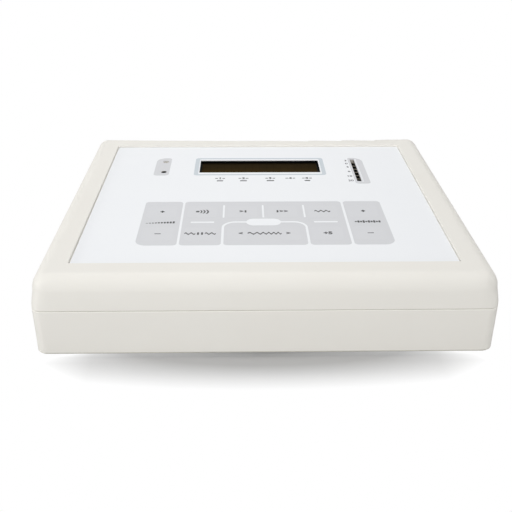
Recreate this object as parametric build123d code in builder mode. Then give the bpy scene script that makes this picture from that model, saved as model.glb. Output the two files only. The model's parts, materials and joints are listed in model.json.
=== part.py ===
from build123d import *
import os
from math import radians, sqrt, tan

# Desk-top diagnostic audiometer: a two-shell moulded case with a recessed control panel.
# Millimetres, +Z up, +Y to the back; the origin is on the desk under the middle of the case.

os.makedirs("parts", exist_ok=True)

# Clearances
overrun = 5.0                 # how far a cut runs past the piece
slide = 0.1                   # play of a sliding piece in its guide
gap = 0.3                     # space left between pieces that only pass each other
thread_play = 0.02            # play of a screw in its thread

# Case
case_width = 296.0            # across the parting line
case_depth = 270.0
case_back_bow = 3.6           # the back edge bows forward by this between its sharp corners
case_corner = 7.5
cover_height = 22.0
cover_draft = 3.4             # degrees
cover_edge_round = 10.5
cover_cavity_chamfer = 6.0    # keeps the wall whole under the round edge
cover_cavity_corner = 10.0
tray_height = 32.5
tray_edge_chamfer = 0.8
tray_lip_chamfer = 0.5        # outer edge of the tray along the parting line
wall = 3.0
parting_gap = 0.6             # shadow line between the shells
tongue_height = 3.0
tongue_thickness = 1.3

# Feet
foot_height = 2.5
foot_radius = 7.0
foot_draft = 12.0             # degrees
foot_inset = 30.0             # from the sides of the case to the middle of a foot

# Control panel
panel_side_margin = 22.0      # edges of the case to the edges of the panel
panel_front_margin = 23.0
panel_back_margin = 25.0
panel_corner = 1.0
panel_recess = 1.5            # top of the case to the face of the panel
panel_plate = 2.5             # wall of the cover under the panel
rim_chamfer = 0.4
overlay_thickness = 0.5
overlay_margin = 0.5          # strip of the recess left bare round the overlay

# Display
display_inset = 48.3          # back edge of the panel to the middle of the display
display_width = 100.8
display_depth = 28.4
display_view_width = 98.0
display_view_depth = 30.6
lens_thickness = 1.5
lens_ledge = 2.5
display_bezel_rim_x = 9.0      # metal beside the view, at each end
display_bezel_rim_y = 3.0      # metal in front of the view and behind it
display_bezel_wall = 1.0
display_glass_thickness = 2.8
display_board_margin = 3.2

# Level meter
meter_x = 80.2
meter_inset = 57.3            # back edge of the panel to the middle of the meter
meter_width = 3.6
meter_length = 50.0
meter_pitch = 7.3
meter_count = 7
meter_segment_length = 5.3
meter_segment_width = 2.8
meter_segment_height = 0.7
meter_segment_drop = 0.9      # face of the panel to the top of a segment
meter_base_margin = 2.6

# Lamp and microphone behind the two round holes
hole_radius = 2.5
hole_x = -80.0
lamp_inset = 37.1             # back edge of the panel to the middles of the two holes
microphone_inset = 60.6
lamp_radius = 2.2
lamp_length = 8.6
lamp_chamfer = 0.7
lamp_spacer_height = 1.4
microphone_radius = 4.8
microphone_length = 6.5
boot_width = 12.0

# Keys
column_pitch = 29.5
row_pitch = 36.8
key_field_inset = 63.0        # front edge of the panel to the line between the rows
side_key_x = 74.0
frequency_key_x = 18.6
key_width = 22.0
frequency_key_width = 14.0
key_depth = 21.0
key_corner = 3.0
key_travel = 0.5
key_flange = 0.9
key_flange_thickness = 1.0
key_flange_gap = 0.15
key_stem_width = 3.6
switch_size = 12.0
switch_height = 4.3
switch_well = 1.6

# Boards, posts and screws
board_thickness = 1.6
panel_board_drop = 8.5        # underside of the cover's plate to the top of the panel board
panel_board_width = 198.0
panel_board_inset = 18.0      # front and back edges of the panel to those of the board
panel_post_inset = 6.0
main_board_margin = 12.0      # columns of the case screws to the ends of the main board
main_board_depth = 150.0
main_board_gap = 1.0          # main board to the back panel
main_post_height = 8.0
post_radius = 4.0             # the posts are six-sided
main_post_inset = 8.0
screw_radius = 1.5
screw_head_radius = 2.8
screw_head_height = 2.0
screw_play = 0.3              # radial play in a board or a wall that a screw passes through
screw_grip = 6.0              # length of thread in a post
case_screw_radius = 1.75
case_screw_inset_x = 16.0
case_screw_inset_y = 17.0
case_post_radius = 5.5
case_screw_recess = 9.0       # depth of the head's hole in the bottom of the tray
case_screw_grip = 10.0
rib_thickness = 1.6
rib_height = 5.0              # ribs on the floor of the tray
long_rib_count = 5
cross_rib_count = 3
rib_field_depth = 84.0        # front wall of the tray to the last cross rib

# Back panel
rear_side_margin = 27.0       # sides of the case to the ends of the back panel
rear_height = 36.0
rear_thickness = 2.0
rear_land = 3.0               # overlap of the plate behind the edges of its opening
rear_inset = 6.0              # middle of the case's back edge to the face of the plate
rear_lift = 2.5               # floor of the tray to the lower edge of the plate
rail_thickness = 1.5
rail_height = 3.5
rear_end = 30.0               # ends of the back panel to its first and last slot
rear_slot_count = 7           # pitches between the first slot and the last

# Jacks for 6.35 mm plugs
jack_first_share = 3 / rear_slot_count
jack_bore_radius = 3.2
jack_thread_radius = 4.5
jack_thread_length = 4.5
jack_body_width = 15.0
jack_body_height = 16.0
jack_body_length = 26.0
jack_wall = 2.0
jack_nut_radius = 7.0
jack_nut_thickness = 2.2

# Power inlet
inlet_share = 1.5 / rear_slot_count
inlet_bore_radius = 2.8
inlet_pin_radius = 1.0
inlet_thread_radius = 4.0
inlet_thread_length = 4.0
inlet_depth = 9.5
inlet_body_width = 11.0
inlet_body_length = 14.0
inlet_nut_radius = 6.4
inlet_nut_thickness = 1.8

# Power switch
rocker_width = 11.0
rocker_radius = 8.6
rocker_face = 1.5             # hinge line to the ridge of the rocker
rocker_root = 4.0             # hinge line to the flat underside
rocker_swing = 24.0           # degrees from off to on
rocker_pin_radius = 1.0
rocker_pin_length = 0.8
rocker_play = 0.2
rocker_well = 6.6
switch_body_wall = 0.9
switch_side_wall = 1.4
switch_body_length = 16.0
switch_flange = 1.2
switch_flange_thickness = 2.0
terminal_width = 4.8
terminal_thickness = 0.8
terminal_length = 6.0
terminal_pitch = 9.0
wire_radius = 0.9
wire_bend = 4.0

# Things on the boards
processor_size = 20.0
processor_height = 1.6
converter_width = 10.0
converter_depth = 7.6
converter_height = 2.4
amplifier_width = 6.4
amplifier_depth = 9.8
amplifier_height = 3.4
relay_width = 10.0
relay_depth = 20.0
relay_height = 11.0
capacitor_radius = 5.0
capacitor_height = 16.0
capacitor_pitch = 14.0
regulator_width = 10.2
regulator_thickness = 4.5
regulator_height = 15.5
sink_width = 42.0
sink_height = 20.0
sink_base = 3.0
sink_fin_length = 12.0
sink_fin_thickness = 1.5
sink_fin_count = 6
header_length = 34.0
header_width = 8.8
header_height = 8.0
header_wall = 1.1
plug_clearance = 0.2
plug_rise = 3.0
plug_length = 30.0
cable_width = 25.0
cable_thickness = 0.9
cable_plug_inset = 13.0       # front edge of the main board to the plugs
cable_reach = 14.0            # how far the ribbon's loop swings forward

# Heights and planes that follow from the sizes above
parting_z = foot_height + tray_height
tongue_inset = wall - tongue_thickness
rebate_inset = tongue_inset - slide
top_z = parting_z + cover_height
overlay_top_z = top_z - panel_recess
plate_top_z = overlay_top_z - overlay_thickness
ceiling_z = plate_top_z - panel_plate
panel_width = case_width - 2 * panel_side_margin
panel_depth = case_depth - panel_front_margin - panel_back_margin
panel_y = (panel_front_margin - panel_back_margin) / 2
panel_front_y = panel_y - panel_depth / 2
panel_back_y = panel_y + panel_depth / 2
display_y = panel_back_y - display_inset
display_bezel_width = display_view_width + 2 * display_bezel_rim_x
display_bezel_depth = display_view_depth + 2 * display_bezel_rim_y
meter_y = panel_back_y - meter_inset
lamp_y = panel_back_y - lamp_inset
microphone_y = panel_back_y - microphone_inset
panel_board_depth = panel_depth - 2 * panel_board_inset
floor_z = foot_height + wall
panel_board_top_z = ceiling_z - panel_board_drop
main_board_top_z = floor_z + main_post_height + board_thickness
lens_bottom_z = plate_top_z - lens_thickness
bezel_top_z = lens_bottom_z - gap
display_board_top_z = panel_board_top_z + board_thickness
display_bezel_height = bezel_top_z - display_board_top_z
rear_bottom_z = floor_z + rear_lift
rear_middle_z = rear_bottom_z + rear_height / 2
land_depth = rear_inset - wall / 2
rear_width = case_width - 2 * rear_side_margin
rear_opening_width = rear_width - 2 * rear_land
rear_opening_height = rear_height - 2 * rear_land
back_bow_radius = ((case_width / 2) ** 2 + case_back_bow**2) / (2 * case_back_bow)
corner_span = sqrt((back_bow_radius + case_corner) ** 2 - (case_width / 2 - case_corner) ** 2)
case_back_y = case_depth / 2 + case_back_bow - back_bow_radius - case_corner + corner_span
rear_face_y = case_back_y - case_back_bow - rear_inset
case_screw_x = case_width / 2 - case_screw_inset_x
case_screw_y = case_depth / 2 - case_screw_inset_y
foot_x = case_width / 2 - foot_inset
foot_y = case_depth / 2 - foot_inset
display_hole_width = display_bezel_width + 2 * gap
display_hole_depth = display_bezel_depth + 2 * gap
lens_width = display_hole_width + 2 * lens_ledge
lens_depth = display_hole_depth + 2 * lens_ledge
display_board_width = display_bezel_width + 2 * display_board_margin
display_board_depth = display_bezel_depth + 2 * display_board_margin
panel_post_pitch_x = panel_board_width - 2 * panel_post_inset
panel_post_pitch_y = panel_board_depth - 2 * panel_post_inset
main_board_width = 2 * (case_screw_x - case_post_radius - main_board_margin)
main_board_y = rear_face_y - rear_thickness - main_board_gap - main_board_depth / 2
main_post_pitch_x = main_board_width - 2 * main_post_inset
main_post_pitch_y = main_board_depth - 2 * main_post_inset
meter_top_z = overlay_top_z - meter_segment_drop
upper_row_y = panel_front_y + key_field_inset + row_pitch / 2
lower_row_y = panel_front_y + key_field_inset - row_pitch / 2
inner_column_x = column_pitch / 2
outer_column_x = 3 * column_pitch / 2
jack_z = main_board_top_z + jack_body_height / 2
rear_span = rear_width - 2 * rear_end
rear_pitch = rear_span / rear_slot_count
jack_first_x = rear_end + jack_first_share * rear_span - rear_width / 2
inlet_x = rear_end + inlet_share * rear_span - rear_width / 2
rocker_x = rear_end - rear_width / 2
cable_plug_y = main_board_y - main_board_depth / 2 + cable_plug_inset

# Every key: x and y of its middle and its width
key_places = {
    "key_level_up": (-side_key_x, upper_row_y, key_width),
    "key_level_down": (-side_key_x, lower_row_y, key_width),
    "key_ear": (-outer_column_x, upper_row_y, key_width),
    "key_input": (-inner_column_x, upper_row_y, key_width),
    "key_output": (inner_column_x, upper_row_y, key_width),
    "key_test": (outer_column_x, upper_row_y, key_width),
    "key_interrupt": (-outer_column_x, lower_row_y, key_width),
    "key_frequency_down": (-frequency_key_x, lower_row_y, frequency_key_width),
    "key_frequency_up": (frequency_key_x, lower_row_y, frequency_key_width),
    "key_extra_level": (outer_column_x, lower_row_y, key_width),
    "key_masking_up": (side_key_x, upper_row_y, key_width),
    "key_masking_down": (side_key_x, lower_row_y, key_width),
}
key_centres = [(x, y) for x, y, width in key_places.values()]


def case_outline(inset, corner):
    """Plan of the case at the parting line, drawn in by inset, with its bowed back edge and its corners."""
    half = case_width / 2 - inset
    front = inset - case_depth / 2
    back = case_back_y - inset
    with BuildSketch() as outline:
        with BuildLine():
            Polyline((-half, back), (-half, front), (half, front), (half, back))
            ThreePointArc((half, back), (0, back - case_back_bow), (-half, back))
        make_face()
        fillet(outline.vertices(), corner)
    return outline.sketch


def key_windows(corner):
    """The twelve key openings with a sliding fit, their corners cut round by corner."""
    with BuildSketch() as windows:
        for x, y, width in key_places.values():
            with Locations((x, y)):
                Rectangle(width + 2 * slide, key_depth + 2 * slide)
        if corner:
            fillet(windows.vertices(), corner)
    return windows.sketch


def meter_and_holes():
    """The slot of the level meter and the two round holes."""
    with BuildSketch() as openings:
        with Locations((meter_x, meter_y)):
            Rectangle(meter_width, meter_length)
        with Locations((hole_x, lamp_y), (hole_x, microphone_y)):
            Circle(hole_radius)
    return openings.sketch


def case_screw_places():
    return GridLocations(2 * case_screw_x, 2 * case_screw_y, 2, 2)


def panel_post_places():
    return GridLocations(panel_post_pitch_x, panel_post_pitch_y, 2, 2)


def main_post_places():
    return GridLocations(main_post_pitch_x, main_post_pitch_y, 2, 2)


def column_ribs(base_z, height):
    """Ribs that tie the columns of the case screws to the walls beside them."""
    reach_x = case_screw_inset_x - wall - rib_thickness
    reach_y = case_screw_inset_y - wall - rib_thickness
    with BuildPart() as ribs:
        for side_x in (-1, 1):
            for side_y in (-1, 1):
                with BuildSketch(Plane.XY.offset(base_z)):
                    with Locations((side_x * (case_screw_x + reach_x / 2), side_y * case_screw_y)):
                        Rectangle(reach_x, rib_thickness)
                    with Locations((side_x * case_screw_x, side_y * (case_screw_y + reach_y / 2))):
                        Rectangle(rib_thickness, reach_y)
                extrude(amount=height)
    return ribs.part


# Top cover: drafted shell, large round along the top, recess with its windows, posts inside
with BuildPart() as cover_cavity:
    with BuildSketch(Plane.XY.offset(parting_z)):
        add(case_outline(wall, cover_cavity_corner))
    extrude(amount=ceiling_z - parting_z, taper=cover_draft)
    chamfer(cover_cavity.faces().sort_by(Axis.Z)[-1].edges(), cover_cavity_chamfer)

with BuildPart() as top_cover:
    with BuildSketch(Plane.XY.offset(parting_z)):
        add(case_outline(0, case_corner))
    extrude(amount=cover_height, taper=cover_draft)
    fillet(top_cover.faces().sort_by(Axis.Z)[-1].edges(), cover_edge_round)
    add(cover_cavity.part, mode=Mode.SUBTRACT)
    # The tray's tongue goes up inside this rebate
    with BuildSketch(Plane.XY.offset(parting_z)):
        add(case_outline(rebate_inset, case_corner - rebate_inset))
    extrude(amount=tongue_height + slide, mode=Mode.SUBTRACT)
    # Land and rail that hold the upper edge of the back panel
    land_top_z = rear_bottom_z + rear_height + rear_land
    with BuildSketch(Plane.XY.offset(parting_z + tongue_height + slide)):
        with Locations((0, rear_face_y)):
            Rectangle(rear_width + rear_land, land_depth, align=(Align.CENTER, Align.MIN))
    extrude(amount=land_top_z - parting_z - tongue_height)
    with BuildSketch(Plane.XY.offset(rear_bottom_z + rear_height - rear_land)):
        with Locations((0, rear_face_y - rear_thickness - slide)):
            Rectangle(rear_opening_width, rail_thickness, align=(Align.CENTER, Align.MAX))
    extrude(amount=ceiling_z - rear_bottom_z - rear_height + rear_land)
    with BuildSketch(Plane.XZ.offset(-rear_face_y - rear_inset - overrun)):
        with Locations((0, rear_middle_z)):
            Rectangle(rear_opening_width, rear_opening_height)
    extrude(amount=rear_inset + overrun, mode=Mode.SUBTRACT)
    # Recess of the control panel
    with BuildSketch(Plane.XY.offset(plate_top_z)):
        with Locations((0, panel_y)):
            RectangleRounded(panel_width, panel_depth, panel_corner)
    extrude(amount=panel_recess + overlay_thickness + overrun, mode=Mode.SUBTRACT)
    rim = top_cover.faces().filter_by(Axis.Z).sort_by(Axis.Z)[-1]
    chamfer(rim.inner_wires()[0].edges(), rim_chamfer)
    # Windows through the plate
    with BuildSketch(Plane.XY.offset(plate_top_z)):
        add(key_windows(0))
        add(meter_and_holes())
        with Locations((0, display_y)):
            Rectangle(display_hole_width, display_hole_depth)
    extrude(amount=-(panel_plate + overrun), mode=Mode.SUBTRACT)
    with BuildSketch(Plane.XY.offset(lens_bottom_z)):
        with Locations((0, display_y)):
            Rectangle(lens_width + 2 * slide, lens_depth + 2 * slide)
    extrude(amount=lens_thickness + overrun, mode=Mode.SUBTRACT)
    # Posts of the panel board, and the columns of the case screws with their ribs
    with BuildSketch(Plane.XY.offset(panel_board_top_z)):
        with Locations((0, panel_y)), panel_post_places():
            RegularPolygon(post_radius, 6)
    extrude(amount=panel_board_drop)
    with BuildSketch(Plane.XY.offset(parting_z)):
        with case_screw_places():
            RegularPolygon(case_post_radius, 6)
    extrude(amount=ceiling_z - parting_z)
    add(column_ribs(parting_z + tongue_height + slide, ceiling_z - parting_z - tongue_height))
    with BuildSketch(Plane.XY.offset(panel_board_top_z)):
        with Locations((0, panel_y)), panel_post_places():
            Circle(screw_radius + thread_play)
    extrude(amount=screw_grip, mode=Mode.SUBTRACT)
    with BuildSketch(Plane.XY.offset(parting_z)):
        with case_screw_places():
            Circle(case_screw_radius + thread_play)
    extrude(amount=case_screw_grip + slide, mode=Mode.SUBTRACT)
top_cover.part.label = "top_cover"
export_step(top_cover.part, "parts/top_cover.step")

# Bottom tray: open shell with the tongue, ribs, columns, board posts and the seat of the back panel
with BuildPart() as bottom_tray:
    with BuildSketch(Plane.XY.offset(foot_height)):
        add(case_outline(0, case_corner))
    extrude(amount=tray_height - parting_gap)
    chamfer(bottom_tray.faces().sort_by(Axis.Z)[0].edges(), tray_edge_chamfer)
    chamfer(bottom_tray.faces().sort_by(Axis.Z)[-1].edges(), tray_lip_chamfer)
    with BuildSketch(Plane.XY.offset(floor_z)):
        add(case_outline(wall, case_corner - wall))
    extrude(amount=tray_height, mode=Mode.SUBTRACT)
    with BuildSketch(Plane.XY.offset(parting_z - parting_gap)):
        add(case_outline(tongue_inset, case_corner - tongue_inset))
        add(case_outline(wall, case_corner - wall), mode=Mode.SUBTRACT)
    extrude(amount=parting_gap + tongue_height)
    # Sill, rail and land round the lower edge of the back panel
    with BuildSketch(Plane.XY.offset(floor_z)):
        with Locations((0, rear_face_y)):
            Rectangle(rear_width + rear_land, land_depth, align=(Align.CENTER, Align.MIN))
    extrude(amount=parting_z - parting_gap - floor_z)
    with BuildSketch(Plane.XY.offset(floor_z)):
        with Locations((0, rear_face_y)):
            Rectangle(rear_width, rear_thickness + rail_thickness, align=(Align.CENTER, Align.MAX))
    extrude(amount=rear_lift)
    with BuildSketch(Plane.XY.offset(floor_z)):
        with Locations((0, rear_face_y - rear_thickness - slide)):
            Rectangle(rear_width, rail_thickness, align=(Align.CENTER, Align.MAX))
    extrude(amount=rear_lift + rail_height)
    with BuildSketch(Plane.XZ.offset(-rear_face_y - rear_inset - overrun)):
        with Locations((0, rear_middle_z)):
            Rectangle(rear_opening_width, rear_opening_height)
    extrude(amount=rear_inset + overrun, mode=Mode.SUBTRACT)
    # Ribs that stiffen the open floor in front of the main board
    inner_front_y = wall - case_depth / 2
    cross_pitch = rib_field_depth / cross_rib_count
    long_pitch = case_width / (long_rib_count + 1)
    with BuildSketch(Plane.XY.offset(floor_z)):
        with Locations((0, inner_front_y + rib_field_depth / 2)):
            with GridLocations(long_pitch, 0, long_rib_count, 1):
                Rectangle(rib_thickness, rib_field_depth + wall)
        with Locations((0, inner_front_y + (rib_field_depth + cross_pitch) / 2)):
            with GridLocations(0, cross_pitch, 1, cross_rib_count):
                Rectangle(case_width - 3 * wall, rib_thickness)
    extrude(amount=rib_height)
    # Posts of the main board, and the columns of the case screws with their ribs
    with BuildSketch(Plane.XY.offset(floor_z)):
        with Locations((0, main_board_y)), main_post_places():
            RegularPolygon(post_radius, 6)
    extrude(amount=main_post_height)
    with BuildSketch(Plane.XY.offset(floor_z)):
        with case_screw_places():
            RegularPolygon(case_post_radius, 6)
    extrude(amount=parting_z - parting_gap - floor_z)
    add(column_ribs(floor_z, parting_z - parting_gap - floor_z))
    with BuildSketch(Plane.XY.offset(floor_z + main_post_height)):
        with Locations((0, main_board_y)), main_post_places():
            Circle(screw_radius + thread_play)
    extrude(amount=-screw_grip, mode=Mode.SUBTRACT)
    with BuildSketch(Plane.XY.offset(foot_height)):
        with case_screw_places():
            Circle(case_screw_radius + screw_play)
    extrude(amount=tray_height, mode=Mode.SUBTRACT)
    with BuildSketch(Plane.XY.offset(foot_height)):
        with case_screw_places():
            Circle(screw_head_radius + gap)
    extrude(amount=case_screw_recess, mode=Mode.SUBTRACT)
bottom_tray.part.label = "bottom_tray"
export_step(bottom_tray.part, "parts/bottom_tray.step")

# Four rubber feet, stuck to the bottom
with BuildPart() as feet:
    with BuildSketch(Plane.XY.offset(foot_height)):
        with GridLocations(2 * foot_x, 2 * foot_y, 2, 2):
            Circle(foot_radius)
    extrude(amount=-foot_height, taper=foot_draft)
feet.part.label = "feet"
export_step(feet.part, "parts/feet.step")

# Front sheet of the control panel, with its windows
with BuildPart() as graphic_overlay:
    with BuildSketch(Plane.XY.offset(plate_top_z)):
        with Locations((0, panel_y)):
            RectangleRounded(
                panel_width - 2 * overlay_margin,
                panel_depth - 2 * overlay_margin,
                panel_corner,
            )
        add(key_windows(key_corner + slide), mode=Mode.SUBTRACT)
        add(meter_and_holes(), mode=Mode.SUBTRACT)
        with Locations((0, display_y)):
            Rectangle(display_width, display_depth, mode=Mode.SUBTRACT)
    extrude(amount=overlay_thickness)
graphic_overlay.part.label = "graphic_overlay"
export_step(graphic_overlay.part, "parts/graphic_overlay.step")

# Twelve keys: flush cap, flange that stops under the plate, and a stem down to the switch
flange_top_z = ceiling_z - key_flange_gap
flange_bottom_z = flange_top_z - key_flange_thickness
switch_top_z = panel_board_top_z + switch_height
stem_bottom_z = switch_top_z - switch_well + key_travel + gap
for key_name, (key_x, key_y, width) in key_places.items():
    with BuildPart() as key:
        with BuildSketch(Plane.XY.offset(flange_top_z)):
            with Locations((key_x, key_y)):
                RectangleRounded(width, key_depth, key_corner)
        extrude(amount=overlay_top_z - flange_top_z)
        with BuildSketch(Plane.XY.offset(flange_bottom_z)):
            with Locations((key_x, key_y)):
                Rectangle(width + 2 * key_flange, key_depth + 2 * key_flange)
        extrude(amount=key_flange_thickness)
        with BuildSketch(Plane.XY.offset(flange_bottom_z)):
            with Locations((key_x, key_y)):
                Rectangle(key_stem_width, key_stem_width)
        extrude(amount=stem_bottom_z - flange_bottom_z)
    key.part.label = key_name
    export_step(key.part, f"parts/{key_name}.step")

# Push switches under the keys; a stem works in the well of each
with BuildPart() as key_switches:
    with BuildSketch(Plane.XY.offset(panel_board_top_z)):
        with Locations(*key_centres):
            Rectangle(switch_size, switch_size)
    extrude(amount=switch_height)
    with BuildSketch(Plane.XY.offset(switch_top_z)):
        with Locations(*key_centres):
            Rectangle(key_stem_width + 2 * slide, key_stem_width + 2 * slide)
    extrude(amount=-switch_well, mode=Mode.SUBTRACT)
key_switches.part.label = "key_switches"
export_step(key_switches.part, "parts/key_switches.step")

# Panel board
with BuildPart() as panel_board:
    with BuildSketch(Plane.XY.offset(panel_board_top_z)):
        with Locations((0, panel_y)):
            Rectangle(panel_board_width, panel_board_depth)
        with Locations((0, panel_y)), panel_post_places():
            Circle(screw_radius + screw_play, mode=Mode.SUBTRACT)
    extrude(amount=-board_thickness)
panel_board.part.label = "panel_board"
export_step(panel_board.part, "parts/panel_board.step")

# Display: clear lens, metal bezel, liquid-crystal glass, and its own board on the panel board
with BuildPart() as display_lens:
    with BuildSketch(Plane.XY.offset(lens_bottom_z)):
        with Locations((0, display_y)):
            Rectangle(lens_width, lens_depth)
    extrude(amount=lens_thickness)
display_lens.part.label = "display_lens"
export_step(display_lens.part, "parts/display_lens.step")

with BuildPart() as display_bezel:
    with BuildSketch(Plane.XY.offset(display_board_top_z)):
        with Locations((0, display_y)):
            Rectangle(display_bezel_width, display_bezel_depth)
    extrude(amount=display_bezel_height)
    with BuildSketch(Plane.XY.offset(display_board_top_z)):
        with Locations((0, display_y)):
            Rectangle(
                display_bezel_width - 2 * display_bezel_wall,
                display_bezel_depth - 2 * display_bezel_wall,
            )
    extrude(amount=display_bezel_height - display_bezel_wall, mode=Mode.SUBTRACT)
    with BuildSketch(Plane.XY.offset(bezel_top_z)):
        with Locations((0, display_y)):
            Rectangle(display_view_width, display_view_depth)
    extrude(amount=-display_bezel_height, mode=Mode.SUBTRACT)
display_bezel.part.label = "display_bezel"
export_step(display_bezel.part, "parts/display_bezel.step")

with BuildPart() as display_glass:
    with BuildSketch(Plane.XY.offset(bezel_top_z - display_bezel_wall)):
        with Locations((0, display_y)):
            Rectangle(
                display_bezel_width - 2 * display_bezel_wall - 2 * gap,
                display_bezel_depth - 2 * display_bezel_wall - 2 * gap,
            )
    extrude(amount=-display_glass_thickness)
display_glass.part.label = "display_glass"
export_step(display_glass.part, "parts/display_glass.step")

with BuildPart() as display_board:
    with BuildSketch(Plane.XY.offset(display_board_top_z)):
        with Locations((0, display_y)):
            Rectangle(display_board_width, display_board_depth)
    extrude(amount=-board_thickness)
display_board.part.label = "display_board"
export_step(display_board.part, "parts/display_board.step")

# Level meter: a housing whose nose fills the slot, and seven segments in its pockets
meter_places = [
    (meter_x, meter_y + (row - (meter_count - 1) / 2) * meter_pitch) for row in range(meter_count)
]
with BuildPart() as meter_housing:
    with BuildSketch(Plane.XY.offset(panel_board_top_z)):
        with Locations((meter_x, meter_y)):
            Rectangle(meter_width + 2 * meter_base_margin, meter_length + 2 * meter_base_margin)
    extrude(amount=panel_board_drop - gap)
    with BuildSketch(Plane.XY.offset(panel_board_top_z)):
        with Locations((meter_x, meter_y)):
            Rectangle(meter_width - 2 * slide, meter_length - 2 * slide)
    extrude(amount=meter_top_z - panel_board_top_z)
    with BuildSketch(Plane.XY.offset(meter_top_z)):
        with Locations(*meter_places):
            Rectangle(meter_segment_width, meter_segment_length)
    extrude(amount=-meter_segment_height, mode=Mode.SUBTRACT)
meter_housing.part.label = "meter_housing"
export_step(meter_housing.part, "parts/meter_housing.step")

with BuildPart() as meter_segments:
    with BuildSketch(Plane.XY.offset(meter_top_z)):
        with Locations(*meter_places):
            Rectangle(meter_segment_width - slide, meter_segment_length - slide)
    extrude(amount=-meter_segment_height)
meter_segments.part.label = "meter_segments"
export_step(meter_segments.part, "parts/meter_segments.step")

# Lamp on its spacer, and the microphone in its rubber boot
lamp_bottom_z = panel_board_top_z + lamp_spacer_height
with BuildPart() as lamp_spacer:
    with BuildSketch(Plane.XY.offset(panel_board_top_z)):
        with Locations((hole_x, lamp_y)):
            Rectangle(2 * lamp_radius, 2 * lamp_radius)
    extrude(amount=lamp_spacer_height)
lamp_spacer.part.label = "lamp_spacer"
export_step(lamp_spacer.part, "parts/lamp_spacer.step")

with BuildPart() as indicator_lamp:
    with BuildSketch(Plane.XY.offset(lamp_bottom_z)):
        with Locations((hole_x, lamp_y)):
            Circle(lamp_radius)
    extrude(amount=lamp_length)
    chamfer(indicator_lamp.edges().sort_by(Axis.Z)[-1], lamp_chamfer)
indicator_lamp.part.label = "indicator_lamp"
export_step(indicator_lamp.part, "parts/indicator_lamp.step")

microphone_top_z = ceiling_z - gap
with BuildPart() as microphone:
    with BuildSketch(Plane.XY.offset(microphone_top_z)):
        with Locations((hole_x, microphone_y)):
            Circle(microphone_radius)
    extrude(amount=-microphone_length)
microphone.part.label = "microphone"
export_step(microphone.part, "parts/microphone.step")

with BuildPart() as microphone_boot:
    with BuildSketch(Plane.XY.offset(panel_board_top_z)):
        with Locations((hole_x, microphone_y)):
            Rectangle(boot_width, boot_width)
    extrude(amount=microphone_top_z - panel_board_top_z)
    with BuildSketch(Plane.XY.offset(microphone_top_z - microphone_length)):
        with Locations((hole_x, microphone_y)):
            Circle(microphone_radius + slide)
    extrude(amount=microphone_length, mode=Mode.SUBTRACT)
microphone_boot.part.label = "microphone_boot"
export_step(microphone_boot.part, "parts/microphone_boot.step")

# Main board
with BuildPart() as main_board:
    with BuildSketch(Plane.XY.offset(main_board_top_z)):
        with Locations((0, main_board_y)):
            Rectangle(main_board_width, main_board_depth)
        with Locations((0, main_board_y)), main_post_places():
            Circle(screw_radius + screw_play, mode=Mode.SUBTRACT)
    extrude(amount=-board_thickness)
main_board.part.label = "main_board"
export_step(main_board.part, "parts/main_board.step")

# Back panel, with the holes for all that passes through it
jack_names = ["left_phone_jack", "right_phone_jack", "bone_jack", "response_jack", "insert_phone_jack"]
jack_places = [(jack_first_x + row * rear_pitch, jack_z) for row in range(len(jack_names))]
switch_body_width = rocker_width + 2 * rocker_play + 2 * switch_side_wall
switch_body_height = 2 * (rocker_radius + rocker_play + switch_body_wall)
with BuildPart() as rear_panel:
    with BuildSketch(Plane.XZ.offset(-rear_face_y)):
        with Locations((0, rear_middle_z)):
            Rectangle(rear_width, rear_height)
        with Locations(*jack_places):
            Circle(jack_thread_radius + slide, mode=Mode.SUBTRACT)
        with Locations((inlet_x, jack_z)):
            Circle(inlet_thread_radius + slide, mode=Mode.SUBTRACT)
        with Locations((rocker_x, rear_middle_z)):
            Rectangle(switch_body_width + 2 * slide, switch_body_height + 2 * slide, mode=Mode.SUBTRACT)
    extrude(amount=rear_thickness)
rear_panel.part.label = "rear_panel"
export_step(rear_panel.part, "parts/rear_panel.step")

# Five jacks: body on the main board, threaded nose through the back panel, bore for the plug
inner_face = Plane.XZ.offset(rear_thickness - rear_face_y)
for jack_name, place in zip(jack_names, jack_places):
    with BuildPart() as jack:
        with BuildSketch(inner_face):
            with Locations(place):
                Rectangle(jack_body_width, jack_body_height)
        extrude(amount=jack_body_length)
        with BuildSketch(inner_face):
            with Locations(place):
                Circle(jack_thread_radius)
        extrude(amount=-(rear_thickness + jack_thread_length))
        with BuildSketch(inner_face.offset(-(rear_thickness + jack_thread_length))):
            with Locations(place):
                Circle(jack_bore_radius)
        bore_length = rear_thickness + jack_thread_length + jack_body_length - jack_wall
        extrude(amount=bore_length, mode=Mode.SUBTRACT)
    jack.part.label = jack_name
    export_step(jack.part, f"parts/{jack_name}.step")

with BuildPart() as jack_nuts:
    with BuildSketch(Plane.XZ.offset(-rear_face_y)):
        with Locations(*jack_places):
            RegularPolygon(jack_nut_radius, 6)
            Circle(jack_thread_radius + thread_play, mode=Mode.SUBTRACT)
    extrude(amount=-jack_nut_thickness)
jack_nuts.part.label = "jack_nuts"
export_step(jack_nuts.part, "parts/jack_nuts.step")

# Power inlet with its centre pin, and its nut
inlet_body_height = 2 * (jack_z - main_board_top_z)
inlet_face = inner_face.offset(-(rear_thickness + inlet_thread_length))
with BuildPart() as power_inlet:
    with BuildSketch(inner_face):
        with Locations((inlet_x, jack_z)):
            Rectangle(inlet_body_width, inlet_body_height)
    extrude(amount=inlet_body_length)
    with BuildSketch(inner_face):
        with Locations((inlet_x, jack_z)):
            Circle(inlet_thread_radius)
    extrude(amount=-(rear_thickness + inlet_thread_length))
    with BuildSketch(inlet_face):
        with Locations((inlet_x, jack_z)):
            Circle(inlet_bore_radius)
            Circle(inlet_pin_radius, mode=Mode.SUBTRACT)
    extrude(amount=inlet_depth, mode=Mode.SUBTRACT)
power_inlet.part.label = "power_inlet"
export_step(power_inlet.part, "parts/power_inlet.step")

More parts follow.
